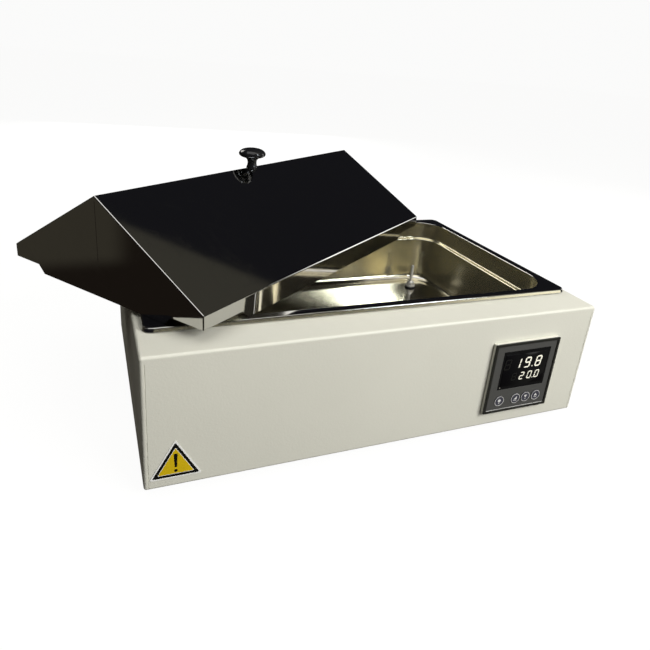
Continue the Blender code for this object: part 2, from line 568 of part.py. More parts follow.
# ================================================================== leads
tube("heater_lead", [flowing([(-174, RY + 20, 52.0), (-174, RY + 20, 42), (-166, RY + 12, 30), (-150, RY + 2, 27),
                              (RX - 28.5 - GAP, RY, 27)], 3)], 2.0, ((0.75, 0.72, 0.66), 0.6, 0.0))
tube("probe_lead", [flowing([(PROBE_X, PROBE_Y, FLOOR_Z - 12 - GAP), (PROBE_X, PROBE_Y, 30), (PROBE_X + 2, 280, 14),
                             (PROBE_X + 4, 200, 9), (PROBE_X, 110, 12), (176, 67, 30), (CTRL_X, Y_FRAME + GAP + 51.0, 34)], 3)],
     1.6, ((0.70, 0.70, 0.68), 0.6, 0.0))
tube("mains_lead", [flowing([(INLET_X, YR + GAP - 26.1, FIT_Z), (INLET_X, YR - 29, FIT_Z), (INLET_X - 4, 336, 24), (160, 324, 14),
                             (120, 329, 9), (102, 330, 8), (95.5, 330, 8)], 3)], 2.6, ((0.05, 0.05, 0.05), 0.6, 0.0))

# ================================================================== warning triangle
TRI_X, TRI_Z, TRI = -241.5, 11.0, 52.0
h = TRI * math.sqrt(3) / 2
pts = []
for k in range(3):
    a = math.radians(90 + 120 * k)
    for da in (-60, -20, 20, 60):
        pts.append((math.cos(a) * (h * 2 / 3 - 3.0) + 1.5 * math.cos(a + math.radians(da)),
                    math.sin(a) * (h * 2 / 3 - 3.0) + 1.5 * math.sin(a + math.radians(da))))
place(new_outline("warning_label", [pts], 0.3), ((0.85, 0.62, 0.03), 0.4, 0.0), (TRI_X, -GAP - 0.15, TRI_Z + h / 3), FACE)

# ================================================================== lid
# A gable section along Y, run along X; its underside is open.
half = LID_W / 2
section = [(0, -DROP), (LID_W, -DROP), (LID_W, SKIRT), (half, SKIRT + LID_RISE), (0, SKIRT)]
me = evaluated(new_outline("lid_shell", [section], LID_L))
me.transform(Matrix(((0, 0, 1, LID_L / 2 * MM), (1, 0, 0, 0), (0, 1, 0, 0), (0, 0, 0, 1))))
bm = bmesh.new()
bm.from_mesh(me)
bmesh.ops.recalc_face_normals(bm, faces=bm.faces)
bmesh.ops.delete(bm, geom=[f for f in bm.faces if f.normal.z < -0.9], context='FACES_ONLY')
bm.to_mesh(me)
bm.free()
lid = place(bpy.data.objects.new("lid_shell", me), STEEL, parent=LID)
bevel(lid, 1.0, 2, 20)
solidify(lid, LID_T)


# The skirt is shallower near each corner: a flared block lifts its edge there,
# with a slope of 45 degrees up from the deeper run between the corners.
def corner_block():
    bm = bmesh.new()
    bmesh.ops.create_cube(bm, size=1.0)
    for v in bm.verts:
        low = v.co.z < 0
        v.co = Vector(((NOTCH_L + (DROP + 3 if low else 0)) if v.co.x > 0 else -3,
                       (NOTCH_W + (DROP + 3 if low else 0)) if v.co.y > 0 else -3, -DROP - 3 if low else 0)) * MM
    me = bpy.data.meshes.new("corner_block")
    bm.to_mesh(me)
    bm.free()
    return me


block = corner_block()
corners = []
for sx, sy in ((1, 1), (-1, 1), (-1, -1), (1, -1)):
    m = Matrix.Translation(Vector((0 if sx > 0 else LID_L, 0 if sy > 0 else LID_W, 0)) * MM) @ Matrix.Diagonal((sx, sy, 1, 1))
    corners.append(m)
reliefs = group("corner_reliefs", block, corners)
bm = bmesh.new()
bm.from_mesh(reliefs.data)
bmesh.ops.recalc_face_normals(bm, faces=bm.faces)
bm.to_mesh(reliefs.data)
bm.free()
RIDGE = SKIRT + LID_RISE
KNOB_AT = (LID_L / 2, half, RIDGE)
hole = bpy.data.objects.new("knob_hole", evaluated(new_turned("hole", [(0, 10), (2.7, 10), (2.7, -10), (0, -10)], 10)))
boolean(lid, as_cutter(place(hole, None, KNOB_AT, (0, 0, 5.0), LID, CUTTERS)))
boolean(lid, as_cutter(place(reliefs, None, parent=LID, col=CUTTERS)))
smooth(lid)

slope = LID_RISE / half
saddle = as_cutter(place(solid_outline("knob_saddle", [[(0, 0.55), (30, 0.55 - 30 * slope), (30, -40), (-30, -40), (-30, 0.55 - 30 * slope)]], 60),
                         None, KNOB_AT, (90, 0, 90), LID, CUTTERS))
knob = place(new_turned("lid_knob", [
    (0, KNOB_H), (5.5, KNOB_H - 0.2), (10.0, KNOB_H - 0.9), (13.6, KNOB_H - 2.2), (16.3, KNOB_H - 4.2), (17.6, KNOB_H - 6.3),
    (KNOB_R, KNOB_H - 7.6), (17.3, KNOB_H - 9.1), (15.6, KNOB_H - 10.8), (12.8, KNOB_H - 12.0), (9.6, KNOB_H - 12.9),
    (7.4, KNOB_H - 14.6), (6.3, KNOB_H - 17.0), (NECK_R, KNOB_H - 19.5), (6.5, 2.6), (7.4, 0.6), (7.4, -6.0), (2.4, -6.0),
    (2.4, 14), (0, 14)], 20),
    ((0.012, 0.012, 0.012), 0.08, 0.0), KNOB_AT, parent=LID)
boolean(knob, saddle)
underside = as_cutter(place(solid_outline("washer_roof", [[(0, -1.3), (30, -1.3 - 30 * slope), (30, 30), (-30, 30), (-30, -1.3 - 30 * slope)]], 60),
                            None, KNOB_AT, (90, 0, 90), LID, CUTTERS))
washer = place(new_turned("knob_washer", [(9, 0), (9, -12), (2.4, -12), (2.4, 0)], 14, closed=True), ZINC, KNOB_AT, parent=LID)
boolean(washer, underside)
place(bpy.data.objects.new("knob_screw", pan_screw(4.0, 2.6, 2.0, 24)), ZINC,
      (KNOB_AT[0], KNOB_AT[1], KNOB_AT[2] - 12 - GAP), (180, 0, 0), LID)
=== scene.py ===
import math
import bmesh
import bpy
from mathutils import Matrix, Vector, noise


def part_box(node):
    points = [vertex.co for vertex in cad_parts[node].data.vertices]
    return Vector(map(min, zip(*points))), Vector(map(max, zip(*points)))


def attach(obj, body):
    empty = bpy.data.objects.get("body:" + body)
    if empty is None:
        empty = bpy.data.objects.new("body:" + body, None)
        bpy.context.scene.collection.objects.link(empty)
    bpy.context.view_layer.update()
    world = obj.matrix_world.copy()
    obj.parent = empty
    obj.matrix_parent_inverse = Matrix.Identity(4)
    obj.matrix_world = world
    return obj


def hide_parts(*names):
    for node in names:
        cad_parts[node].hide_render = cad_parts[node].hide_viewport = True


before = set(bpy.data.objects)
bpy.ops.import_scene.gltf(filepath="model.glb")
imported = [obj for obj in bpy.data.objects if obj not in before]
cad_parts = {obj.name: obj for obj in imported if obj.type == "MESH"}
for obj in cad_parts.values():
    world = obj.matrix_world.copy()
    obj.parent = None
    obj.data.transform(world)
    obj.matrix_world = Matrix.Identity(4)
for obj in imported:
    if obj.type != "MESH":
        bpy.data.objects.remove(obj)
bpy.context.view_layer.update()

# All sizes below are in millimetres in the water bath's design frame: the origin is
# the bottom of the casing's front face at its middle, X right, Y back, Z up.
CASE_W, CASE_D, CASE_H = 545.0, 372.5, 150.0
SHEET, FOLD_R, RETURN = 1.2, 3.0, 14.0
REAR_T, BASE_T, GAP = 1.2, 1.2, 0.3
RIM_X, RIM_Y, RIM_CY, RIM_R, RIM_H = 265.0, 162.5, 207.0, 10.0, 5.5
RIM_Z = CASE_H + RIM_H
FLOOR_Z = RIM_Z - 100.0
TANK_T = 0.8
CTRL_X, CTRL_Z, CTRL = 172.5, 68.5, 96.0
BEZEL_T, FRAME_BORDER = 3.4, 3.5
WIN_W, WIN_H, WIN_DX, WIN_DZ = 69.5, 51.8, 1.4, 10.1
KEY_R, KEY_DZ = 6.75, -31.8
KEY_DX = (-27.0, -2.3, 13.2, 29.1)
LID_L, LID_W, LID_RISE, SKIRT, DROP = 500.0, 295.0, 86.0, 15.0, 9.5
NOTCH_L, NOTCH_W, LID_T = 57.0, 42.0, 0.8
LID_X, LID_Y, LID_YAW = -212.97, 11.03, 36.41
LID_Z = RIM_Z + DROP + GAP
KNOB_H, KNOB_R, NECK_R = 25.0, 17.8, 6.0
INLET_X, SWITCH_X, FUSE_X, FIT_Z = 190.0, 140.0, 105.0, 27.0
ROCKER_TILT = 10.0
PROBE_X, PROBE_Y = 194.0, 306.0
FOOT_R, FOOT_H = 12.0, 8.0
FEET = [(x, y) for x in (-232.0, 232.0) for y in (42.0, 330.0)]

_lo, _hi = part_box("casing_shell")
ORIGIN = Vector(((_lo.x + _hi.x) / 2, _lo.y, _lo.z))
PLACE = Matrix.Translation(ORIGIN) @ Matrix.Diagonal((0.001, 0.001, 0.001, 1))
LID_M = Matrix.Translation((LID_X, LID_Y, LID_Z)) @ Matrix.Rotation(math.radians(LID_YAW), 4, 'Z')
SCENE = bpy.context.scene


# ------------------------------------------------------------------ materials
def finish(name, base, rough, metal=0.0, vary=0.05, vary_scale=7.0, rough_vary=0.05, grain=0.0, grain_scale=700.0,
           grain_dist=0.0001, stretch=(1, 1, 1), streak=0.0, wear=0.0, wear_colour=None, coat=0.0, coat_rough=0.1,
           specular=None, specks=0.0, speck_colour=(0.1, 0.1, 0.1), glow=0.0, aniso=0.0, sheen=0.0, smudge=0.0,
           tint=None, dust=0.0):
    """A procedural surface: base tone with slow variation, fine grain, streaks, worn
    edges, specks, finger smudges and a little dust on what faces up."""
    m = bpy.data.materials.new(name)
    m.use_nodes = True
    t = m.node_tree
    b = t.nodes["Principled BSDF"]
    link = t.links.new
    co = t.nodes.new("ShaderNodeTexCoord")
    mp = t.nodes.new("ShaderNodeMapping")
    mp.inputs["Scale"].default_value = stretch
    link(co.outputs["Object"], mp.inputs["Vector"])

    def tex(scale, detail=4.0, rough_=0.55, src=None, dist=0.0):
        n = t.nodes.new("ShaderNodeTexNoise")
        n.inputs["Scale"].default_value = scale
        n.inputs["Detail"].default_value = detail
        n.inputs["Roughness"].default_value = rough_
        n.inputs["Distortion"].default_value = dist
        link((src or co.outputs["Object"]), n.inputs["Vector"])
        return n.outputs["Fac"]

    def remap(src, a, z, lo, hi):
        n = t.nodes.new("ShaderNodeMapRange")
        n.inputs["From Min"].default_value = a
        n.inputs["From Max"].default_value = z
        n.inputs["To Min"].default_value = lo
        n.inputs["To Max"].default_value = hi
        link(src, n.inputs["Value"])
        return n.outputs["Result"]

    def mix(fac, a, z, kind='MIX'):
        n = t.nodes.new("ShaderNodeMix")
        n.data_type = 'RGBA'
        n.blend_type = kind
        if isinstance(fac, float):
            n.inputs["Factor"].default_value = fac
        else:
            link(fac, n.inputs["Factor"])
        for v, s in ((a, n.inputs["A"]), (z, n.inputs["B"])):
            if isinstance(v, tuple):
                s.default_value = (*v, 1)
            else:
                link(v, s)
        return n.outputs["Result"]

    def maths(op, a, z):
        n = t.nodes.new("ShaderNodeMath")
        n.operation = op
        for v, s in ((a, n.inputs[0]), (z, n.inputs[1])):
            if isinstance(v, float):
                s.default_value = v
            else:
                link(v, s)
        return n.outputs[0]

    slow = tex(vary_scale, 5.0, 0.6)
    dark = tuple(c * (1 - vary) for c in base)
    light = tuple(min(1.0, c * (1 + vary)) for c in (tint or base))
    col = mix(remap(slow, 0.3, 0.7, 0, 1), dark, light)
    rgh = remap(tex(vary_scale * 2.3, 6.0, 0.6), 0.3, 0.7, rough - rough_vary, rough + rough_vary)
    height = None
    if streak:
        fine = tex(1.0, 3.0, 0.5, mp.outputs["Vector"])
        rgh = maths('ADD', rgh, remap(fine, 0.3, 0.7, -streak, streak))
        col = mix(remap(fine, 0.35, 0.65, 0.0, 0.35), col, tuple(c * 0.82 for c in base))
    if grain:
        g = tex(grain_scale, 3.0, 0.5)
        height = g if not streak else maths('ADD', g, tex(1.0, 2.0, 0.5, mp.outputs["Vector"]))
    if specks:
        v = t.nodes.new("ShaderNodeTexVoronoi")
        v.inputs["Scale"].default_value = 260.0
        link(co.outputs["Object"], v.inputs["Vector"])
        hit = maths('MULTIPLY', remap(v.outputs["Distance"], 0.05, 0.16, specks, 0.0), remap(tex(35.0), 0.55, 0.7, 0, 1))
        col = mix(hit, col, speck_colour)
    if smudge:
        s = remap(tex(22.0, 7.0, 0.65, dist=1.2), 0.5, 0.72, 0.0, smudge)
        rgh = maths('ADD', rgh, s)
    if wear:
        geo = t.nodes.new("ShaderNodeNewGeometry")
        edge = maths('MULTIPLY', remap(geo.outputs["Pointiness"], 0.52, 0.62, 0.0, 1.0),
                     remap(tex(90.0, 4.0), 0.42, 0.62, 0.15, 1.0))
        col = mix(maths('MULTIPLY', edge, wear), col, wear_colour or tuple(min(1.0, c * 1.5 + 0.05) for c in base))
    if dust:
        geo2 = t.nodes.new("ShaderNodeNewGeometry")
        sep = t.nodes.new("ShaderNodeSeparateXYZ")
        link(geo2.outputs["Normal"], sep.inputs[0])
        up = maths('MULTIPLY', remap(sep.outputs["Z"], 0.6, 1.0, 0.0, dust), remap(tex(60.0, 6.0, 0.7), 0.45, 0.7, 0.2, 1.0))
        col = mix(up, col, (0.55, 0.53, 0.48))
        rgh = maths('ADD', rgh, maths('MULTIPLY', up, 0.4))
    link(col, b.inputs["Base Color"])
    link(rgh, b.inputs["Roughness"])
    b.inputs["Metallic"].default_value = metal
    b.inputs["Coat Weight"].default_value = coat
    b.inputs["Coat Roughness"].default_value = coat_rough
    b.inputs["Anisotropic"].default_value = aniso
    b.inputs["Sheen Weight"].default_value = sheen
    if specular is not None:
        b.inputs["Specular IOR Level"].default_value = specular
    if glow:
        b.inputs["Emission Strength"].default_value = glow
        b.inputs["Emission Color"].default_value = (*base, 1)
    if height is not None:
        bump = t.nodes.new("ShaderNodeBump")
        bump.inputs["Strength"].default_value = grain
        bump.inputs["Distance"].default_value = grain_dist
        link(height, bump.inputs["Height"])
        link(bump.outputs["Normal"], b.inputs["Normal"])
    return m


CREAM = (0.70, 0.695, 0.61)
M = {
    "paint": finish("casing_powder_coat", CREAM, 0.42, vary=0.025, vary_scale=5, rough_vary=0.05, grain=0.55,
                    grain_scale=430, grain_dist=0.00022, wear=0.35, wear_colour=(0.82, 0.81, 0.74), specks=0.25,
                    speck_colour=(0.35, 0.33, 0.28)),
    "mirror": finish("mirror_steel", (0.56, 0.555, 0.54), 0.045, 1.0, vary=0.02, rough_vary=0.015, grain=0.03,
                     grain_scale=60, grain_dist=0.0002, smudge=0.05, wear=0.25, wear_colour=(0.85, 0.84, 0.80)),
    "flange": finish("flange_steel", (0.56, 0.555, 0.53), 0.06, 1.0, vary=0.02, rough_vary=0.02, grain=0.03,
                     grain_scale=80, grain_dist=0.0002, smudge=0.05, wear=0.2, wear_colour=(0.85, 0.84, 0.80)),
    # The tank wall's olive-yellow base colour is partly the steel's own tone and partly a painted warm reflection
    # tinted into the steel.
    "wall": finish("tank_wall_steel_painted_reflection_tint", (0.76, 0.715, 0.54), 0.215, 0.97, vary=0.05, vary_scale=6, rough_vary=0.015,
                   grain=0.02, grain_scale=1500, grain_dist=0.00005, specular=0.3),
    "floor": finish("tank_floor_steel", (0.68, 0.66, 0.61), 0.125, 1.0, vary=0.04, vary_scale=5, rough_vary=0.012,
                    grain=0.02, grain_scale=1400, grain_dist=0.00005),
    "probe": finish("probe_steel", (0.80, 0.79, 0.75), 0.24, 0.60, rough_vary=0.03, grain=0.05, grain_scale=1500,
                    stretch=(900, 900, 12), streak=0.03),
    "knob": finish("knob_black", (0.010, 0.010, 0.011), 0.10, vary=0.15, rough_vary=0.02, coat=0.2, coat_rough=0.04, specular=0.4,
                   grain=0.02, grain_scale=220, wear=0.15, wear_colour=(0.07, 0.07, 0.07)),
    "frame": finish("frame_black", (0.018, 0.018, 0.015), 0.34, vary=0.12, rough_vary=0.05, grain=0.15,
                    grain_scale=1800, grain_dist=0.00006, wear=0.4, wear_colour=(0.10, 0.10, 0.09)),
    "keypad": finish("keypad_grey", (0.078, 0.078, 0.074), 0.42, vary=0.06, rough_vary=0.04, grain=0.25,
                     grain_scale=2400, grain_dist=0.00005, stretch=(60, 60, 2600), streak=0.05),
    "window": finish("window_black", (0.004, 0.004, 0.005), 0.07, vary=0.2, rough_vary=0.015, grain=0.02,
                     grain_scale=300, coat=0.4, coat_rough=0.05),
    "digit": finish("digit_cream", (0.66, 0.64, 0.54), 0.5, vary=0.03, glow=0.58, vary_scale=60, specular=0.2),
    "ghost": finish("digit_unlit", (0.010, 0.010, 0.009), 0.35, vary=0.1, grain=0.05),
    "led": finish("led_amber", (0.30, 0.28, 0.24), 0.3, vary=0.1, vary_scale=80, coat=0.5),
    "key": finish("key_cap", (0.060, 0.060, 0.078), 0.40, vary=0.08, rough_vary=0.04, grain=0.2, grain_scale=2200,
                  grain_dist=0.00005, wear=0.2, wear_colour=(0.12, 0.12, 0.13)),
    "print": finish("white_print", (0.66, 0.66, 0.64), 0.45, vary=0.08, vary_scale=120, grain=0.1, grain_scale=1500),
    "rubber": finish("rubber_black", (0.022, 0.022, 0.023), 0.72, vary=0.2, vary_scale=40, grain=0.4, grain_scale=1300,
                     grain_dist=0.0001, wear=0.3, wear_colour=(0.08, 0.08, 0.08), dust=0.15),
    "silicone": finish("silicone_red", (0.42, 0.09, 0.04), 0.5, vary=0.1, vary_scale=30, grain=0.5, grain_scale=650,
                       grain_dist=0.0002, stretch=(400, 400, 400), streak=0.05),
    "zinc": finish("zinc_steel", (0.52, 0.53, 0.53), 0.34, 1.0, vary=0.16, vary_scale=45, rough_vary=0.09, grain=0.15,
                   grain_scale=260, grain_dist=0.00008, wear=0.3, wear_colour=(0.75, 0.75, 0.74)),
    "aluminium": finish("aluminium_fins", (0.70, 0.71, 0.72), 0.32, 1.0, vary=0.06, rough_vary=0.05, grain=0.2,
                        grain_scale=900, grain_dist=0.00006, stretch=(8, 8, 900), streak=0.06, wear=0.3),
    "wool": finish("glass_wool", (0.72, 0.66, 0.46), 0.95, vary=0.25, vary_scale=55, grain=1.0, grain_scale=330,
                   grain_dist=0.0012, stretch=(90, 700, 90), streak=0.03, sheen=0.3),
    "board": finish("board_green", (0.015, 0.12, 0.05), 0.35, vary=0.15, vary_scale=80, grain=0.4, grain_scale=480,
                    grain_dist=0.0001, coat=0.3, specks=0.8, speck_colour=(0.5, 0.5, 0.45)),
    "cream_plastic": finish("moulding_cream", (0.70, 0.67, 0.58), 0.42, vary=0.05, vary_scale=25, grain=0.2,
                            grain_scale=1200, grain_dist=0.00006, wear=0.2),
    "brown": finish("moulding_brown", (0.16, 0.10, 0.06), 0.4, vary=0.2, vary_scale=60, grain=0.25, grain_scale=900,
                    wear=0.3),
    "switch": finish("switch_black", (0.014, 0.014, 0.015), 0.30, vary=0.12, vary_scale=40, rough_vary=0.05,
                     grain=0.25, grain_scale=1900, grain_dist=0.00006, wear=0.35, wear_colour=(0.07, 0.07, 0.07)),
    "lead_grey": finish("lead_grey", (0.42, 0.42, 0.41), 0.5, vary=0.08, vary_scale=60, grain=0.2, grain_scale=1400),
    "lead_black": finish("lead_black", (0.02, 0.02, 0.02), 0.5, vary=0.1, vary_scale=60, grain=0.2, grain_scale=1400),
    "brass": finish("brass", (0.68, 0.52, 0.24), 0.26, 1.0, vary=0.1, vary_scale=60, rough_vary=0.08, grain=0.1,
                    grain_scale=600, wear=0.4, wear_colour=(0.85, 0.72, 0.42)),
    "nickel": finish("nickel_pins", (0.60, 0.58, 0.52), 0.24, 1.0, vary=0.08, vary_scale=90, rough_vary=0.06,
                     grain=0.1, grain_scale=900),
    "yellow": finish("label_yellow", (0.68, 0.475, 0.009), 0.38, vary=0.07, vary_scale=45, rough_vary=0.04, grain=0.12,
                     grain_scale=1300, grain_dist=0.00005),
    "ink": finish("label_ink", (0.006, 0.006, 0.005), 0.42, vary=0.15, vary_scale=60, grain=0.1, grain_scale=1300, specular=0.25),
    "white": finish("label_white", (0.88, 0.88, 0.85), 0.40, vary=0.04, vary_scale=60, grain=0.1, grain_scale=1300),
}


# ------------------------------------------------------------------ mesh helpers
def to_mesh(bm, name):
    me = bpy.data.meshes.new(name)
    bm.to_mesh(me)
    bm.free()
    return me


def temp(me, matrix=None):
    ob = bpy.data.objects.new(me.name, me)
    SCENE.collection.objects.link(ob)
    if matrix is not None:
        ob.matrix_world = matrix
    return ob


def baked(ob):
    """The evaluated mesh of a working object, in its world place; the object is removed."""
    bpy.context.view_layer.update()
    me = bpy.data.meshes.new_from_object(ob.evaluated_get(bpy.context.evaluated_depsgraph_get()))
    me.transform(ob.matrix_world)
    old = ob.data
    bpy.data.objects.remove(ob, do_unlink=True)
    if isinstance(old, bpy.types.Mesh) and old.users == 0:
        bpy.data.meshes.remove(old)
    return me


def bevel(ob, width, segments=3, angle=30, weight=False):
    mod = ob.modifiers.new("Bevel", 'BEVEL')
    mod.width = width
    mod.segments = segments
    mod.limit_method = 'ANGLE'
    mod.angle_limit = math.radians(angle)
    return ob


def solidify(ob, thickness, offset=-1.0):
    mod = ob.modifiers.new("Solidify", 'SOLIDIFY')
    mod.thickness = thickness
    mod.offset = offset
    mod.use_even_offset = True
    return ob


def boolean(ob, me, operation='DIFFERENCE', tool_list=[]):
    other = temp(me)
    other.hide_render = True
    mod = ob.modifiers.new("Boolean", 'BOOLEAN')
    mod.operation = operation
    mod.solver = 'EXACT'
    mod.object = other
    tool_list.append(other)
    return ob


def clear_tools(tool_list=boolean.__defaults__[1]):
    for o in list(tool_list):
        me = o.data
        bpy.data.objects.remove(o, do_unlink=True)
        bpy.data.meshes.remove(me)
    tool_list.clear()


def box_mesh(cx, cy, cz, sx, sy, sz, name="block"):
    bm = bmesh.new()
    bmesh.ops.create_cube(bm, size=1.0)
    bmesh.ops.scale(bm, vec=(sx, sy, sz), verts=bm.verts)
    bmesh.ops.translate(bm, vec=(cx, cy, cz), verts=bm.verts)
    return to_mesh(bm, name)


def rounded(hx, hy, r, n=10, cx=0.0, cy=0.0):
    pts = []
    for qx, qy, a0 in ((1, 1, 0), (-1, 1, 90), (-1, -1, 180), (1, -1, 270)):
        for i in range(n + 1):
            a = math.radians(a0 + 90 * i / n)
            pts.append((cx + qx * (hx - r) + r * math.cos(a), cy + qy * (hy - r) + r * math.sin(a)))
    return pts


def circle(r, n=48, cx=0.0, cy=0.0, start=0.0):
    return [(cx + r * math.cos(2 * math.pi * i / n + start), cy + r * math.sin(2 * math.pi * i / n + start))
            for i in range(n)]


def outline(loops, thickness, z=0.0, name="plate"):
    """Closed loops in XY filled and extruded from z - thickness/2 to z + thickness/2."""
    cu = bpy.data.curves.new(name, 'CURVE')
    cu.dimensions = '2D'
    cu.fill_mode = 'BOTH'
    cu.extrude = thickness / 2
    for pts in loops:
        sp = cu.splines.new('POLY')
        sp.points.add(len(pts) - 1)
        for p, (x, y) in zip(sp.points, pts):
            p.co = (x, y, 0, 1)
        sp.use_cyclic_u = True
    ob = bpy.data.objects.new(name, cu)
    SCENE.collection.objects.link(ob)
    me = baked(ob)
    bpy.data.curves.remove(cu)
    bm = bmesh.new()
    bm.from_mesh(me)
    bmesh.ops.remove_doubles(bm, verts=bm.verts, dist=0.0005)
    bmesh.ops.dissolve_limit(bm, angle_limit=math.radians(0.3), verts=bm.verts, edges=bm.edges)
    bmesh.ops.recalc_face_normals(bm, faces=bm.faces)
    bmesh.ops.translate(bm, vec=(0, 0, z), verts=bm.verts)
    bm.to_mesh(me)
    bm.free()
    return me


def turned(profile, steps=64, closed=False, name="turned"):
    """(radius, height) points spun about Z; a point on the axis closes the end."""
    bm = bmesh.new()
    rings = []
    for r, z in profile:
        if r < 1e-6:
            rings.append([bm.verts.new((0, 0, z))])
        else:
            rings.append([bm.verts.new((r * math.cos(2 * math.pi * i / steps), r * math.sin(2 * math.pi * i / steps), z))
                          for i in range(steps)])
    pairs = list(zip(rings[:-1], rings[1:]))
    if closed:
        pairs.append((rings[-1], rings[0]))
    for a, b in pairs:
        for i in range(steps):
            j = (i + 1) % steps
            if len(a) == 1:
                bm.faces.new((a[0], b[i], b[j]))
            elif len(b) == 1:
                bm.faces.new((a[i], b[0], a[j]))
            else:
                bm.faces.new((a[i], b[i], b[j], a[j]))
    bmesh.ops.recalc_face_normals(bm, faces=bm.faces)
    return to_mesh(bm, name)


def filleted(points, n=8):
    """A polyline of (x, z, radius) with each inner corner rounded to its radius."""
    out = [Vector(points[0][:2])]
    for (ax, az, _), (bx, bz, r), (cx, cz, _) in zip(points[:-2], points[1:-1], points[2:]):
        a, b, c = Vector((ax, az)), Vector((bx, bz)), Vector((cx, cz))
        u, v = (a - b).normalized(), (c - b).normalized()
        if r <= 0:
            out.append(b)
            continue
        half = u.angle(v) / 2
        reach = r / math.tan(half)
        mid = b + (u + v).normalized() * (r / math.sin(half))
        s, e = b + u * reach - mid, b + v * reach - mid
        turn = s.angle_signed(e)
        for i in range(n + 1):
            k = -turn * i / n
            out.append(mid + Vector((s.x * math.cos(k) - s.y * math.sin(k), s.x * math.sin(k) + s.y * math.cos(k))))
    out.append(Vector(points[-1][:2]))
    return [(p.x, p.y) for p in out]


def smooth_line(pts, n=4):
    """A smooth curve through the points, n steps to each span."""
    out = []
    for i in range(len(pts) - 1):
        p = [Vector(pts[max(0, min(len(pts) - 1, i + k))]) for k in (-1, 0, 1, 2)]
        for k in range(n):
            t = k / n
            q = 0.5 * (2 * p[1] + (p[2] - p[0]) * t + (2 * p[0] - 5 * p[1] + 4 * p[2] - p[3]) * t * t
                       + (3 * p[1] - p[0] - 3 * p[2] + p[3]) * t ** 3)
            out.append((max(0.0, q.x), q.y))
    return out + [pts[-1]]


def joined(meshes, name="joined"):
    """One mesh from several; the order of the meshes gives the material index."""
    bm = bmesh.new()
    for k, (me, index) in enumerate(meshes):
        start = len(bm.faces)
        bm.from_mesh(me)
        bm.faces.ensure_lookup_table()
        for f in bm.faces[start:]:
            f.material_index = index
    return to_mesh(bm, name)


def moved(me, matrix):
    me = me.copy()
    me.transform(matrix)
    if matrix.to_3x3().determinant() < 0:
        me.flip_normals()
    return me


def at(x, y, z, rx=0, ry=0, rz=0):
    return (Matrix.Translation((x, y, z)) @ Matrix.Rotation(math.radians(rz), 4, 'Z')
            @ Matrix.Rotation(math.radians(ry), 4, 'Y') @ Matrix.Rotation(math.radians(rx), 4, 'X'))


def piece(name, me, mats, body, replaces=(), sharp=32, weighted=True, crease=None):
    """A finished piece: its mesh goes to the row frame and it rides on its body."""
    me = me.copy()
    me.name = name
    me.transform(PLACE)
    index = [p.material_index for p in me.polygons]
    me.materials.clear()
    for m in mats:
        me.materials.append(M[m])
    me.polygons.foreach_set("material_index", index)
    me.shade_smooth()
    me.set_sharp_from_angle(angle=math.radians(sharp))
    ob = bpy.data.objects.new(name, me)
    SCENE.collection.objects.link(ob)
    if weighted:
        w = ob.modifiers.new("Weighted normals", 'WEIGHTED_NORMAL')
        w.weight = 90
        w.keep_sharp = True
    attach(ob, body)
    if replaces:
        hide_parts(*replaces)
    return ob


# ================================================================== casing
bm = bmesh.new()
bmesh.ops.create_cube(bm, size=1.0)
bmesh.ops.scale(bm, vec=(CASE_W, CASE_D, CASE_H), verts=bm.verts)
bmesh.ops.translate(bm, vec=(0, CASE_D / 2, CASE_H / 2), verts=bm.verts)
bm.faces.ensure_lookup_table()
open_faces = [f for f in bm.faces if f.normal.y > 0.9 or f.normal.z < -0.9]
bmesh.ops.inset_individual(bm, faces=open_faces, thickness=RETURN, use_even_offset=True)
bmesh.ops.delete(bm, geom=open_faces, context='FACES_ONLY')
case = temp(to_mesh(bm, "casing"))
bevel(case, FOLD_R, 7)
solidify(case, SHEET)
boolean(case, outline([rounded(RIM_X - 8.5, RIM_Y - 8.5, 42, 10, 0, RIM_CY)], 20, CASE_H))
boolean(case, box_mesh(CTRL_X, 0, CTRL_Z, 92, 12, 92))
REAR_SCREWS = [(x, z) for x in (-262, 262) for z in (7.0, 143.0)]
BASE_SCREWS = [(x, y) for x in (-264, 264) for y in (60, 312)]
rod = turned([(0, 6), (1.9, 6), (1.9, -6), (0, -6)], 24)
boolean(case, joined([(moved(rod, at(x, CASE_D, z, rx=90)), 0) for x, z in REAR_SCREWS]
                     + [(moved(rod, at(x, y, 0)), 0) for x, y in BASE_SCREWS]))
# The side returns of the folded sheet meet the front plate in two filled seams.
seams = []
for x in (-1, 1):
    groove = turned([(0, 70.0), (0.42, 69.6), (0.42, -69.6), (0, -70.0)], 10)
    seams.append((moved(groove, at(x * (CASE_W / 2 - 4.6), 0.06, 73.0)), 0))
boolean(case, joined(seams))
me = baked(case)
clear_tools()
piece("casing", me, ["paint"], "bath", ["casing_shell"])

# ================================================================== rear cover
slot_me = outline([rounded(1.6, 9, 1.55, 6)], 8)
cover = temp(moved(outline([rounded(CASE_W / 2 - 4, CASE_H / 2 - 3, 3, 6)], REAR_T), at(0, CASE_D + GAP + REAR_T / 2, CASE_H / 2, rx=90)))
tool = [(moved(slot_me, at(-226 + 12 * i, CASE_D + 1, z, rx=90)), 0) for i in range(8) for z in (66, 92)]
tool += [(moved(rod, at(x, CASE_D, z, rx=90)), 0) for x, z in REAR_SCREWS]
tool += [(box_mesh(INLET_X, CASE_D, FIT_Z, 28, 12, 23), 0), (box_mesh(SWITCH_X, CASE_D, FIT_Z, 13.6, 12, 20), 0)]
tool += [(moved(turned([(0, 6), (6.4, 6), (6.4, -6), (0, -6)], 40), at(FUSE_X, CASE_D, FIT_Z, rx=90)), 0)]
boolean(cover, joined(tool))
bevel(cover, 0.25, 2, 50)
piece("rear_cover", baked(cover), ["paint"], "bath", ["rear_panel"])
clear_tools()


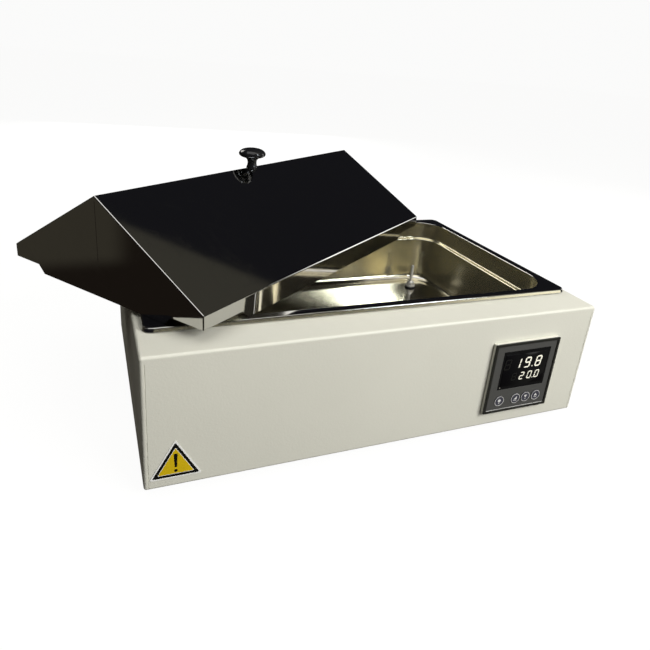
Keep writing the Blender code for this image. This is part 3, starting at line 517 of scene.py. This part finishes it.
# ================================================================== screws
def cross_screw(head_r, head_h, shank_r, length):
    head = [(0, head_h), (head_r * 0.35, head_h * 0.985), (head_r * 0.62, head_h * 0.92), (head_r * 0.82, head_h * 0.76),
            (head_r * 0.95, head_h * 0.5), (head_r, head_h * 0.22), (head_r, 0.0), (shank_r, 0.0)]
    z, k = -0.5, 0
    while z > -length + 0.6:      # rolled thread
        head += [(shank_r, z), (shank_r * 0.84, z - 0.25)]
        z -= 0.5
    head += [(shank_r * 0.8, -length), (0, -length)]
    ob = temp(turned(head, 28))
    arm = [(-0.42, 0), (0.42, 0), (0.30, 1), (-0.30, 1)]
    cross = []
    for a in (0, 90):
        bmx = bmesh.new()
        bmesh.ops.create_cube(bmx, size=1.0)
        for v in bmx.verts:
            low = v.co.z < 0
            v.co = Vector((v.co.x * head_r * (0.75 if low else 1.15), v.co.y * (0.55 if low else 0.8), 0.35 if low else head_h + 0.5))
        bmesh.ops.rotate(bmx, matrix=Matrix.Rotation(math.radians(a), 3, 'Z'), verts=bmx.verts, cent=(0, 0, 0))
        cross.append(to_mesh(bmx, "arm"))
    boolean(ob, cross[0])
    boolean(ob, cross[1])
    me = baked(ob)
    clear_tools()
    return me


screw = cross_screw(3.4, 2.2, 1.5, 7)
for i, (x, z) in enumerate(REAR_SCREWS):
    piece(f"rear_cover_screw_{i + 1}", moved(screw, at(x, CASE_D + GAP * 2 + REAR_T, z, rx=-90, ry=17 * i)), ["zinc"], "bath",
          [f"rear_screw_{i + 1}"])
for i, (x, y) in enumerate(BASE_SCREWS):
    piece(f"base_plate_screw_{i + 1}", moved(screw, at(x, y, -GAP * 2 - BASE_T, rx=180, rz=31 * i)), ["zinc"], "bath",
          [f"base_screw_{i + 1}"])

# ================================================================== feet
foot_profile = [(0, 7), (1.7, 7), (2.0, 6.7), (2.0, 0), (FOOT_R - 0.5, 0), (FOOT_R - 0.15, -0.15), (FOOT_R, -0.5), (FOOT_R, -1.9),
                (FOOT_R - 0.3, -2.2), (FOOT_R - 0.35, -2.5), (FOOT_R - 0.15, -2.8), (FOOT_R - 0.5, -4.0), (FOOT_R - 0.75, -4.3),
                (FOOT_R - 0.72, -4.6), (FOOT_R - 0.6, -4.9), (FOOT_R - 1.4, -FOOT_H + 0.9), (FOOT_R - 1.75, -FOOT_H + 0.35),
                (FOOT_R - 2.3, -FOOT_H + 0.05), (FOOT_R - 2.8, -FOOT_H), (7.6, -FOOT_H), (7.3, -FOOT_H + 0.5), (4.0, -FOOT_H + 1.6),
                (0, -FOOT_H + 1.6)]
foot = turned(foot_profile, 56)
FOOT_TOP = -GAP - BASE_T - GAP
for i, (x, y) in enumerate(FEET):
    piece(f"rubber_foot_{i + 1}", moved(foot, at(x, y, FOOT_TOP)), ["rubber"], "bath", [f"foot_{i + 1}"])

# ================================================================== tank
prof = filleted([(RIM_X, CASE_H + 1.4, 0), (RIM_X - 1.0, RIM_Z, 1.3), (252.4, RIM_Z, 1.5), (250.55, 128.6, 1.7), (245.7, 127.0, 2.0),
                 (241.35, FLOOR_Z, 13.0), (214.0, FLOOR_Z - 0.35, 0)], 7)


def corner_radius(hx, z):
    if z > RIM_Z - 0.9 and hx > 254.0:
        k = max(0.0, min(1.0, (RIM_X - 1.6 - hx) / (RIM_X - 1.6 - 255.4)))
        return (RIM_R - max(0.0, min(0.8, (hx - (RIM_X - 1.6)) * -0.5 + 0.8))) * (1 - k) + 48.0 * k
    if hx > 255.5:
        return RIM_R
    if hx > 241:
        return hx - 207.2
    return 34.0 + (hx - 241.0) * 0.68


bm = bmesh.new()
rings, N = [], 16
cols = [(RIM_X - 1.6) + (255.4 - (RIM_X - 1.6)) * k / 5 for k in range(1, 5)]
pts = []
for p, q in zip(prof[:-1], prof[1:]):
    pts.append(p)
    if abs(p[1] - RIM_Z) < 1e-3 and abs(q[1] - RIM_Z) < 1e-3 and p[0] - q[0] > 4:
        pts += [(x, RIM_Z) for x in cols if q[0] < x < p[0]]
    elif abs(p[1] - q[1]) > 15:
        pts += [(p[0] + (q[0] - p[0]) * k / 6, p[1] + (q[1] - p[1]) * k / 6) for k in range(1, 6)]
pts.append(prof[-1])
for hx, z in pts:
    r = corner_radius(hx, z)
    rings.append([bm.verts.new((x, y, z)) for x, y in rounded(hx, hx - (RIM_X - RIM_Y), r, N, 0, RIM_CY)])
for a, b in zip(rings[:-1], rings[1:]):
    for i in range(len(a)):
        j = (i + 1) % len(a)
        f = bm.faces.new((a[i], a[j], b[j], b[i]))
        zm = (a[i].co.z + b[i].co.z) / 2
        f.material_index = 0 if zm > RIM_Z - 1.2 or (abs(a[i].co.x) > 255.5) else 1
last = bm.faces.new(rings[-1])
last.material_index = 2
for f in bm.faces:
    if f.material_index == 1 and f.calc_center_median().z < FLOOR_Z + 4.5:
        f.material_index = 2
bmesh.ops.recalc_face_normals(bm, faces=bm.faces)
if last.normal.z < 0:
    bmesh.ops.reverse_faces(bm, faces=bm.faces)
liner = temp(to_mesh(bm, "tank_liner"))
solidify(liner, TANK_T)
boolean(liner, moved(turned([(0, 6), (5.4, 6), (5.4, -6), (0, -6)], 32), at(PROBE_X, PROBE_Y, FLOOR_Z)))
piece("tank_liner", baked(liner), ["flange", "wall", "floor"], "bath", ["tank"], sharp=40)
clear_tools()

# ================================================================== probe
rod_prof = [(0, 40), (0.8, 39.85), (1.5, 39.4), (2.05, 38.6), (2.35, 37.6), (2.48, 36.4), (2.5, 35.0), (2.5, 14.0), (2.5, -12), (0, -12)]
piece("probe_stem", moved(turned(rod_prof, 40), at(PROBE_X, PROBE_Y, FLOOR_Z)), ["probe"], "bath", ["probe_rod"])
ring = turned([(7.75, 4.4), (7.8, 3.4), (7.7, 2.7), (7.3, 2.1), (5.0, 2.1), (5.0, -10.0), (2.9, -10.0), (2.9, 3.6), (5.4, 4.6), (7.3, 4.75)], 56, True)
hexn = temp(outline([circle(6.9, 6, start=math.radians(12)), circle(2.9, 40)], 3.0, 6.0))
bevel(hexn, 0.35, 3, 40)
dome = turned([(2.9, 7.4), (6.0, 7.4), (6.0, 8.2), (5.6, 9.4), (4.8, 10.6), (3.9, 11.3), (3.4, 11.5), (2.9, 11.3)], 56, True)
piece("probe_gland", moved(joined([(ring, 0), (baked(hexn), 0), (dome, 0)]), at(PROBE_X, PROBE_Y, FLOOR_Z)), ["probe"], "bath",
      ["probe_gland_nut"])

# ================================================================== controller
FACE = (90, 0, 0)
H = CTRL / 2


def on_panel(me, y, dx=0.0, dz=0.0):
    """A mesh drawn in XY, its +Z towards the viewer of the panel, set at depth y."""
    return moved(me, at(CTRL_X + dx, y, CTRL_Z + dz, rx=90))


def plate_ring(outer, inner, t, width, segments=3, y=0.0, angle=60):
    ob = temp(on_panel(outline([outer, inner], t), y))
    bevel(ob, width, segments, angle)
    return baked(ob)


Y_FRAME = -GAP * 2 - BEZEL_T
piece("controller_surround", plate_ring(rounded(H, H, 1.2, 6), rounded(H - 2, H - 2, 0.8, 4), BEZEL_T, 0.55, 3, -GAP - BEZEL_T / 2),
      ["paint"], "bath", ["controller_bezel"])
piece("controller_rim", plate_ring(rounded(H - 0.15, H - 0.15, 1.2, 6), rounded(H - FRAME_BORDER, H - FRAME_BORDER, 0.8, 4), 1.8, 0.4, 3,
                                   Y_FRAME - 0.9), ["frame"], "bath", ["controller_frame"])
HO = H - FRAME_BORDER - GAP
over = temp(on_panel(outline([rounded(HO, HO, 0.6, 4)], 0.8), Y_FRAME - 0.4))
holes = [(on_panel(turned([(0, 4), (KEY_R + GAP, 4), (KEY_R + GAP, -4), (0, -4)], 48), Y_FRAME, dx, KEY_DZ), 0) for dx in KEY_DX]
boolean(over, joined(holes + [(box_mesh(CTRL_X + WIN_DX, Y_FRAME, CTRL_Z + WIN_DZ, WIN_W + 0.6, 8, WIN_H + 0.6), 0)]))
bevel(over, 0.12, 2, 60)
body_me = baked(over)
clear_tools()
strip = on_panel(outline([rounded(0.46 * CTRL, 0.75, 0.2, 2, 0.005 * CTRL, -0.465 * CTRL)], 0.16), Y_FRAME - 0.86)
piece("keypad_sheet", joined([(body_me, 0), (strip, 1)]), ["keypad", "print"], "bath", ["keypad_overlay"])
glass = temp(box_mesh(CTRL_X + WIN_DX, Y_FRAME - 0.4, CTRL_Z + WIN_DZ, WIN_W, 0.8, WIN_H))
bevel(glass, 0.18, 3)
piece("display_glass", baked(glass), ["window"], "bath", ["display_window"])

SEGMENTS = {'0': "abcdef", '1': "bc", '2': "abged", '8': "abcdefg", '9': "abcdfg"}
Y_LIT = Y_FRAME - 0.8 - GAP


def bar(cx, cy, length, t, upright, lean):
    """One pointed bar of a seven-segment digit, as an outline."""
    hl, ht = length / 2, t / 2
    pts = [(-hl, 0), (-hl + ht, ht), (hl - ht, ht), (hl, 0), (hl - ht, -ht), (-hl + ht, -ht)]
    if upright:
        pts = [(-y, x) for x, y in pts]
    return [(cx + x + lean * (cy + y), cy + y) for x, y in pts]


def digit(ch, h, w, t, cx, cz, lean=0.13):
    """Outlines of one digit's bars about its own middle, then moved to (cx, cz)."""
    g = t * 0.10
    mid = {'a': (0, h / 2, w - g, t, 0), 'g': (0, 0, w - g, t, 0), 'd': (0, -h / 2, w - g, t, 0),
           'b': (w / 2, h / 4, h / 2 - g, t, 1), 'c': (w / 2, -h / 4, h / 2 - g, t, 1),
           'f': (-w / 2, h / 4, h / 2 - g, t, 1), 'e': (-w / 2, -h / 4, h / 2 - g, t, 1)}
    return [[(x + cx, y + cz) for x, y in bar(*mid[k][:3], mid[k][3], mid[k][4], lean)] for k in SEGMENTS[ch]]


lit, unlit = [], []
for ch, u, v, h in (('1', .391, .305, 12.9), ('9', .545, .305, 12.9), ('8', .716, .305, 12.9),
                    ('2', .492, .494, 9.2), ('0', .615, .494, 9.2), ('0', .731, .494, 9.2)):
    lit += digit(ch, h, h * (0.55 if h > 10 else 0.58), h * 0.138, (u - 0.5) * CTRL - WIN_DX, (0.5 - v) * CTRL - WIN_DZ)
unlit += digit('8', 12.9, 7.5, 1.7, (.234 - 0.5) * CTRL - WIN_DX, (0.5 - .305) * CTRL - WIN_DZ)
unlit += digit('8', 9.2, 5.7, 1.2, (.372 - 0.5) * CTRL - WIN_DX, (0.5 - .494) * CTRL - WIN_DZ)
shapes = [(on_panel(outline([o], 0.26), Y_LIT - 0.2, WIN_DX, WIN_DZ), 0) for o in lit]
for u, v, r in ((.627, .368, 0.85), (.674, .541, 0.65)):
    shapes.append((on_panel(turned([(0, 0.13), (r - 0.08, 0.13), (r, 0.06), (r, -0.13), (0, -0.13)], 24), Y_LIT - 0.2, (u - .5) * CTRL, (.5 - v) * CTRL), 0))
shapes += [(on_panel(outline([o], 0.10), Y_LIT - 0.24, WIN_DX, WIN_DZ), 1) for o in unlit]
back = temp(box_mesh(CTRL_X + WIN_DX, Y_LIT - 0.1, CTRL_Z + WIN_DZ, WIN_W - 6, 0.2, WIN_H - 8.6))
bevel(back, 0.06, 2)
shapes.append((baked(back), 2))
piece("display_characters", joined(shapes), ["digit", "ghost", "window"], "bath", ["display_digits"], weighted=False)
piece("status_lamp", on_panel(turned([(0, 0.2), (0.5, 0.18), (0.8, 0.1), (0.9, 0.0), (0, 0)], 32), Y_LIT, (.187 - .5) * CTRL, (.5 - .635) * CTRL),
      ["led"], "bath", ["status_led"])

KEYS = ("set", "shift", "down", "up")
for name, dx in zip(KEYS, KEY_DX):
    cap = turned([(0, 1.55), (KEY_R - 1.6, 1.58), (KEY_R - 0.95, 1.62), (KEY_R - 0.55, 1.58), (KEY_R - 0.2, 1.42), (KEY_R - 0.03, 1.15),
                  (KEY_R, 0.9), (KEY_R, -0.3), (7.2, -0.3), (7.2, -1.3), (2.5, -1.3), (2.5, -6.4), (0, -6.4)], 64)
    ring_out = outline([circle(KEY_R - 0.12, 64), circle(KEY_R - 0.66, 64)], 0.12, 1.63)
    marks = []
    if name == "set":
        marks = [outline([circle(2.15, 32, 0.0, 0.7)], 0.12, 1.6), outline([circle(0.7, 20, 0.0, -2.9)], 0.12, 1.6)]
    elif name == "shift":
        marks = [outline([[(2.1, 2.9), (2.1, -1.2), (-2.4, -1.2)]], 0.12, 1.6),
                 outline([[(-2.7, -3.1), (2.2, -3.1), (2.2, -2.3), (-2.7, -2.3)]], 0.12, 1.6)]
    elif name == "down":
        marks = [outline([[(-2.4, 2.6), (2.4, 2.6), (0, -1.3)]], 0.12, 1.6), outline([circle(0.65, 20, 0.0, -2.9)], 0.12, 1.6)]
    else:
        marks = [outline([[(-2.4, -0.8), (2.4, -0.8), (0, 3.0)]], 0.12, 1.6),
                 outline([[(-2.1, -3.0), (2.1, -3.0), (2.1, -2.2), (-2.1, -2.2)]], 0.12, 1.6)]
    both = joined([(cap, 0), (ring_out, 1)] + [(m, 1) for m in marks])
    piece(f"keycap_{name}", on_panel(both, Y_FRAME, dx, KEY_DZ), ["key", "print"], f"key_{name}", [f"button_{name}"])

# ================================================================== warning label
TRI_X, TRI_Z, TRI = -241.5, 11.0, 52.0
TH = TRI * math.sqrt(3) / 2


def triangle(inset, r=1.5):
    """A rounded triangle, its edges inset from the label's own outline."""
    out = []
    for k in range(3):
        a = math.radians(90 + 120 * k)
        reach = TH * 2 / 3 - 3.0 - 2 * inset + 2 * (1.5 - r)
        for i in range(7):
            d = math.radians(-60 + 120 * i / 6)
            out.append((math.cos(a) * reach + r * math.cos(a + d), math.sin(a) * reach + r * math.sin(a + d)))
    return out


label = [(outline([triangle(0)], 0.20, -0.05), 0), (outline([triangle(1.6, 1.1), triangle(4.5, 0.6)], 0.10, 0.085), 1),
         (outline([triangle(5.0, 0.5)], 0.08, 0.085), 2)]
mark_top = TH * 0.30
label += [(outline([[(-1.9, mark_top), (1.9, mark_top), (1.15, -2.6), (-1.15, -2.6)]], 0.10, 0.12), 1),
          (outline([circle(1.75, 32, 0.0, -6.6)], 0.10, 0.12), 1)]
piece("warning_triangle", moved(joined(label), at(TRI_X, -GAP - 0.12, TRI_Z + TH / 3, rx=90)), ["white", "ink", "yellow"], "bath",
      ["warning_label"])

# ================================================================== lid
half = LID_W / 2
section = [(0, -DROP), (LID_W, -DROP), (LID_W, SKIRT), (half, SKIRT + LID_RISE), (0, SKIRT)]
me = outline([section], LID_L)
me.transform(Matrix(((0, 0, 1, LID_L / 2), (1, 0, 0, 0), (0, 1, 0, 0), (0, 0, 0, 1))))
bm = bmesh.new()
bm.from_mesh(me)
bmesh.ops.recalc_face_normals(bm, faces=bm.faces)
bmesh.ops.delete(bm, geom=[f for f in bm.faces if f.normal.z < -0.9], context='FACES_ONLY')
lid = temp(to_mesh(bm, "lid"))
bevel(lid, 1.25, 6, 20)
solidify(lid, LID_T)
corners = []
for sx, sy in ((1, 1), (-1, 1), (-1, -1), (1, -1)):
    bm = bmesh.new()
    bmesh.ops.create_cube(bm, size=1.0)
    for v in bm.verts:
        low = v.co.z < 0
        v.co = Vector(((NOTCH_L + (DROP + 3 if low else 0)) if v.co.x > 0 else -3,
                       (NOTCH_W + (DROP + 3 if low else 0)) if v.co.y > 0 else -3, -DROP - 3 if low else 0))
    bm.transform(Matrix.Translation((0 if sx > 0 else LID_L, 0 if sy > 0 else LID_W, 0)) @ Matrix.Diagonal((sx, sy, 1, 1)))
    bmesh.ops.recalc_face_normals(bm, faces=bm.faces)
    corners.append((to_mesh(bm, "corner"), 0))
RIDGE = SKIRT + LID_RISE
boolean(lid, moved(turned([(0, 10), (2.7, 10), (2.7, -10), (0, -10)], 20), at(LID_L / 2, half, RIDGE, rz=5)))
boolean(lid, joined(corners))
shell = baked(lid)
clear_tools()
# The two flaps of each gable meet in a ground weld below the ridge.
beads = []
for x, side in ((0.0, -1), (LID_L, 1)):
    bm = bmesh.new()
    n, rows = 46, []
    for k in range(n + 1):
        z = 30.0 + (RIDGE - 36.0) * k / n
        wob = 0.10 * noise.noise(Vector((k * 0.9, x, 3.0)))
        w = 0.75 + 0.25 * noise.noise(Vector((k * 0.55, x, 9.0)))
        row = []
        for i in range(7):
            a = math.pi * i / 6
            row.append(bm.verts.new((x + side * (0.13 * math.sin(a) * (1 + wob * 4) - 0.03), half + w * math.cos(a) + wob, z)))
        rows.append(row)
    for a, b in zip(rows[:-1], rows[1:]):
        for i in range(6):
            bm.faces.new((a[i], a[i + 1], b[i + 1], b[i]))
    bmesh.ops.holes_fill(bm, edges=[e for e in bm.edges if e.is_boundary], sides=0)
    bmesh.ops.recalc_face_normals(bm, faces=bm.faces)
    beads.append((to_mesh(bm, "bead"), 0))
piece("lid_sheet", moved(joined([(shell, 0)] + beads), LID_M), ["mirror"], "lid", ["lid_shell"], sharp=25)

slope = LID_RISE / half
kp = smooth_line([(0, KNOB_H), (5.5, KNOB_H - 0.2), (10.0, KNOB_H - 0.9), (13.6, KNOB_H - 2.2), (16.3, KNOB_H - 4.2), (17.6, KNOB_H - 6.3),
                  (KNOB_R, KNOB_H - 7.6), (17.3, KNOB_H - 9.1), (15.6, KNOB_H - 10.8), (12.8, KNOB_H - 12.0), (9.6, KNOB_H - 12.9),
                  (7.4, KNOB_H - 14.6), (6.3, KNOB_H - 17.0), (NECK_R, KNOB_H - 19.5), (6.4, 2.6), (7.0, 0.9), (7.4, -0.6)])
kp += [(7.4, -6.0), (2.4, -6.0), (2.4, 14), (0, 14)]
knob = temp(turned(kp, 72))
boolean(knob, moved(outline([[(0, 0.55), (30, 0.55 - 30 * slope), (30, -40), (-30, -40), (-30, 0.55 - 30 * slope)]], 60), at(0, 0, 0, rx=90, rz=90)))
knob_me = baked(knob)
clear_tools()
piece("lid_knob_grip", moved(knob_me, LID_M @ Matrix.Translation((LID_L / 2, half, RIDGE))), ["knob"], "lid", ["lid_knob"], sharp=40)

# ================================================================== rear fittings
YR = CASE_D + GAP + REAR_T
flange_ob = temp(moved(outline([rounded(24, 14, 2.4, 6)], 3.0), at(INLET_X, YR + GAP + 1.5, FIT_Z, rx=90)))
bevel(flange_ob, 0.6, 3, 50)
boolean(flange_ob, box_mesh(INLET_X, YR + GAP + 1.4 - 13.5, FIT_Z, 27.2, 27, 22.2), 'UNION')
cav = outline([[(-12, -7.8), (12, -7.8), (12, 3.2), (7.5, 7.8), (-7.5, 7.8), (-12, 3.2)]], 24)
boolean(flange_ob, moved(cav, at(INLET_X, YR + GAP + 4 - 12, FIT_Z, rx=90)))
socket = baked(flange_ob)
clear_tools()
pins = []
for px, pz in ((-7, -3), (0, 1), (7, -3)):
    p = temp(box_mesh(INLET_X + px, YR - 13, FIT_Z + pz, 2, 18, 4))
    bevel(p, 0.45, 3)
    pins.append((baked(p), 1))
sides = []
for s in (-1, 1):
    sides.append((moved(screw, at(INLET_X + s * 19.6, YR + GAP + 1.35, FIT_Z, rx=-90) @ Matrix.Diagonal((0.72, 0.72, 0.72, 1))), 2))
piece("mains_socket", joined([(socket, 0)] + pins + sides), ["switch", "nickel", "zinc"], "bath", ["power_inlet"])

sw = temp(moved(outline([rounded(10.5, 14, 1.6, 6), rounded(5.4, 8.6, 0.5, 3)], 2.2), at(SWITCH_X, YR + GAP + 1.1, FIT_Z, rx=90)))
bevel(sw, 0.6, 3, 60)
boolean(sw, moved(outline([rounded(6.5, 9.7, 0.6, 3), rounded(5.4, 8.6, 0.5, 3)], 19), at(SWITCH_X, YR + GAP + 1.0 - 9.5, FIT_Z, rx=90)), 'UNION')
boolean(sw, box_mesh(SWITCH_X, YR + GAP + 1.0 - 18.6, FIT_Z, 12.6, 1.5, 19.0), 'UNION')
piece("switch_bezel", baked(sw), ["switch"], "bath", ["switch_frame"])
clear_tools()

rock_outline = [(-5.6, 2.2), (-7.6, 4.6), (-7.0, 4.75), (-5.0, 4.2), (-2.5, 3.1), (0, 2.6), (2.5, 3.1), (5.0, 4.2), (7.0, 4.75), (7.6, 4.6),
                (5.6, 2.2), (1.6, -5.0), (-1.6, -5.0)]
rk = temp(outline([rock_outline], 9.8))
bevel(rk, 0.3, 3, 35)
rk_me = baked(rk)
on_mark = moved(outline([[(-0.35, -1.6), (0.35, -1.6), (0.35, 1.6), (-0.35, 1.6)]], 0.1), Matrix.Identity(4))
off_mark = outline([circle(1.5, 28), circle(0.95, 28)], 0.1)
# In the rocker's own outline X runs up and down the face and Y points out of it.
tilt_on = math.degrees(math.atan2(1.35, 3.3))
marks = [(moved(on_mark, Matrix.Translation((4.9, 4.20, 0)) @ Matrix.Rotation(math.radians(tilt_on), 4, 'Z') @ Matrix.Rotation(math.radians(-90), 4, 'X') @ Matrix.Rotation(math.radians(90), 4, 'Z')), 1),
         (moved(off_mark, Matrix.Translation((-4.9, 4.20, 0)) @ Matrix.Rotation(math.radians(-tilt_on), 4, 'Z') @ Matrix.Rotation(math.radians(-90), 4, 'X')), 1)]
rk_turn = Matrix.Rotation(math.radians(ROCKER_TILT), 4, 'X') @ Matrix(((0, 0, 1, 0), (0, 1, 0, 0), (-1, 0, 0, 0), (0, 0, 0, 1)))
piece("rocker_cap", moved(joined([(rk_me, 0)] + marks), Matrix.Translation((SWITCH_X, YR + GAP + 0.4, FIT_Z)) @ rk_turn),
      ["switch", "print"], "rocker", ["switch_rocker"])

fuse = temp(turned([(0, 11), (3.9, 11), (4.4, 10.85), (4.75, 10.5), (5.0, 9.9), (5.8, 3.6), (6.2, 3.2), (8.2, 3.0), (8.65, 2.8), (8.8, 2.4),
                    (8.8, 0.3), (6.0, 0.3), (6.0, -22), (0, -22)], 56))
boolean(fuse, box_mesh(0, 0, 11, 12, 1.3, 2.4))
fuse_me = baked(fuse)
clear_tools()
ribs = []
for k in range(12):
    a = 2 * math.pi * k / 12
    ribs.append((moved(box_mesh(0, 0, 0, 0.5, 0.7, 4.6), Matrix.Rotation(a, 4, 'Z') @ Matrix.Translation((5.35, 0, 7.0)) @ Matrix.Rotation(math.radians(7), 4, 'Y')), 0))
piece("fuse_cap", moved(joined([(fuse_me, 0)] + ribs), at(FUSE_X, YR, FIT_Z, rx=-90)), ["switch"], "bath", ["fuse_holder"])

# ================================================================== carried-over CAD nodes
KEEP = {
    "base_plate": "zinc", "tank_gasket": "rubber", "tank_rail_front": "zinc", "tank_rail_rear": "zinc", "heating_pad": "silicone",
    "insulation_floor": "wool", "insulation_sides": "wool", "overheat_cutout": "brown", "probe_seal": "rubber",
    "probe_lock_nut": "zinc", "display_module": "switch", "controller_board": "board", "controller_housing": "switch",
    "relay_heat_sink": "aluminium", "solid_state_relay": "cream_plastic", "terminal_block": "cream_plastic",
    "earth_stud": "brass", "heater_lead": "lead_grey", "probe_lead": "lead_grey", "mains_lead": "lead_black",
    "knob_washer": "zinc", "knob_screw": "zinc",
}
for name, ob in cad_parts.items():
    if ob.hide_render:
        continue
    mat = M[KEEP.get(name, "zinc")]
    ob.data.materials.clear()
    ob.data.materials.append(mat)
    w = ob.modifiers.new("Weld", 'WELD')
    w.merge_threshold = 0.00001
    if name in ("base_plate", "knob_washer", "heating_pad", "insulation_floor", "terminal_block", "solid_state_relay"):
        b = ob.modifiers.new("Bevel", 'BEVEL')
        b.width = 0.0002
        b.segments = 2
        b.limit_method = 'ANGLE'
        b.angle_limit = math.radians(50)

# ================================================================== stage
def D(x, y, z):
    return PLACE @ Vector((x, y, z))


bm = bmesh.new()
bmesh.ops.create_grid(bm, x_segments=2, y_segments=2, size=14.0)
ground = bpy.data.objects.new("studio_floor", to_mesh(bm, "studio_floor"))
SCENE.collection.objects.link(ground)
ground.location = (0, 0, -0.0002)
ground.visible_glossy = False
ground.visible_diffuse = False
pale = bpy.data.materials.new("studio_floor_pale")
pale.use_nodes = True
pb = pale.node_tree.nodes["Principled BSDF"]
pb.inputs["Base Color"].default_value = (0.065, 0.065, 0.064, 1)
pb.inputs["Roughness"].default_value = 0.9
pb.inputs["Specular IOR Level"].default_value = 0.1
pb.inputs["Emission Color"].default_value = (1.0, 1.0, 0.995, 1)
pb.inputs["Emission Strength"].default_value = 0.952
ground.data.materials.append(pale)

# The room that the polished steel mirrors: dark, with two dim warm walls and a lighter ceiling.
world = bpy.data.worlds.new("studio")
SCENE.world = world
world.use_nodes = True
wt = world.node_tree
way = wt.nodes.new("ShaderNodeTexCoord").outputs["Generated"]


def side_of(n, lo, hi):
    """1 where the direction's part along n is above hi, 0 below lo."""
    dot = wt.nodes.new("ShaderNodeVectorMath")
    dot.operation = 'DOT_PRODUCT'
    dot.inputs[1].default_value = n
    wt.links.new(way, dot.inputs[0])
    step = wt.nodes.new("ShaderNodeMapRange")
    step.interpolation_type = 'SMOOTHSTEP'
    step.inputs["From Min"].default_value = lo
    step.inputs["From Max"].default_value = hi
    wt.links.new(dot.outputs["Value"], step.inputs["Value"])
    return step.outputs["Result"]


def both_of(a, b):
    n = wt.nodes.new("ShaderNodeMath")
    n.operation = 'MULTIPLY'
    wt.links.new(a, n.inputs[0])
    wt.links.new(b, n.inputs[1])
    return n.outputs[0]


def painted(fac, a, b):
    n = wt.nodes.new("ShaderNodeMix")
    n.data_type = 'RGBA'
    wt.links.new(fac, n.inputs["Factor"])
    for v, k in ((a, "A"), (b, "B")):
        if isinstance(v, tuple):
            n.inputs[k].default_value = (*v, 1)
        else:
            wt.links.new(v, n.inputs[k])
    return n.outputs["Result"]


room = painted(side_of((0, 0, 1), -0.12, 0.05), (0.014, 0.0105, 0.0080), (0.0115, 0.0115, 0.0142))
room = painted(both_of(side_of((0.0421, -0.8758, 0.4808), -0.003, 0.009), side_of((1, 0, 0.25), 0.25, 0.5)), room, (0.056, 0.053, 0.043))
room = painted(both_of(both_of(side_of((0.2419, 0.9703, 0), -0.010, 0.035), side_of((0, 0, 1), -0.362, -0.335)), side_of((-1, 0, -0.3), 0.6, 0.8)),
               room, (0.047, 0.042, 0.031))
room = painted(side_of((0.74, -0.67, 0.02), 0.963, 0.990), room, (1.35, 1.33, 1.25))
room = painted(side_of((0.48, -0.29, 0.83), 0.955, 0.985), room, (0.75, 0.71, 0.62))
bg = wt.nodes["Background"]
wt.links.new(room, bg.inputs["Color"])
bg.inputs["Strength"].default_value = 1.0
seen = wt.nodes.new("ShaderNodeBackground")
seen.inputs["Color"].default_value = (0.962, 0.962, 0.957, 1)
path = wt.nodes.new("ShaderNodeLightPath")
mixer = wt.nodes.new("ShaderNodeMixShader")
wt.links.new(path.outputs["Is Camera Ray"], mixer.inputs[0])
wt.links.new(bg.outputs[0], mixer.inputs[1])
wt.links.new(seen.outputs[0], mixer.inputs[2])
wt.links.new(mixer.outputs[0], wt.nodes["World Output"].inputs["Surface"])


def softbox(name, loc, target, sx, sy, power, colour=(1, 1, 1), glossy=True, diffuse=True):
    data = bpy.data.lights.new(name, 'AREA')
    data.shape = 'RECTANGLE'
    data.size, data.size_y = sx, sy
    data.energy = power
    data.color = colour
    ob = bpy.data.objects.new(name, data)
    SCENE.collection.objects.link(ob)
    ob.location = loc
    ob.rotation_euler = (Vector(target) - Vector(loc)).to_track_quat('-Z', 'Y').to_euler()
    ob.visible_camera = False
    ob.visible_glossy = glossy
    ob.visible_diffuse = diffuse
    return ob


softbox("key_front_right", (0.95, -1.75, 1.25), (0.02, -0.15, 0.08), 1.3, 1.0, 53.0, (1.0, 0.99, 0.97), glossy=False)
softbox("key_sheen", (0.945, -1.21, 1.21), (0.10, 0.03, 0.04), 0.26, 0.85, 9.2, (0.86, 0.93, 1.0), diffuse=False)
softbox("overhead", (-0.25, -0.35, 1.75), (-0.05, -0.1, 0.1), 1.6, 1.4, 10.0, (1.0, 0.99, 0.965))
softbox("strip_right", (1.9, 0.15, 0.55), (0.1, 0.0, 0.12), 0.5, 1.2, 4.0, (1.0, 0.99, 0.97))
softbox("side_right", (1.7, 0.6, 0.9), (0.1, 0.0, 0.12), 0.8, 0.8, 7.0, (1.0, 0.99, 0.97), glossy=False)
softbox("fill_left", (-1.9, 0.35, 1.15), (0, 0.05, 0.1), 1.0, 1.0, 2.2, (1.0, 0.96, 0.84), glossy=False)
softbox("rear_fill", (0.3, 2.3, 0.42), (0.0, 0.2, 0.1), 1.4, 0.7, 20.0, (1.0, 0.995, 0.97), glossy=False)
softbox("fill_back", (-0.75, 1.55, 1.30), (0.05, 0.05, 0.08), 0.9, 0.7, 8.0, (1.0, 0.98, 0.92))

cam_data = bpy.data.cameras.new("camera")
cam = bpy.data.objects.new("camera", cam_data)
SCENE.collection.objects.link(cam)
rot = Matrix(((0.926472, 0.061582, -0.371292), (-0.367548, 0.360313, -0.857370), (0.080983, 0.930796, 0.356455)))
cam.matrix_world = Matrix.Translation(D(-301.89, -467.93, 417.07)) @ rot.to_4x4()
cam_data.sensor_width = 36.0
cam_data.lens = 31.505
cam_data.shift_x, cam_data.shift_y = 0.00005, -0.08317
cam_data.clip_start, cam_data.clip_end = 0.01, 60.0
SCENE.camera = cam
SCENE.view_settings.view_transform = 'Standard'
SCENE.view_settings.look = 'None'

bpy.context.view_layer.update()
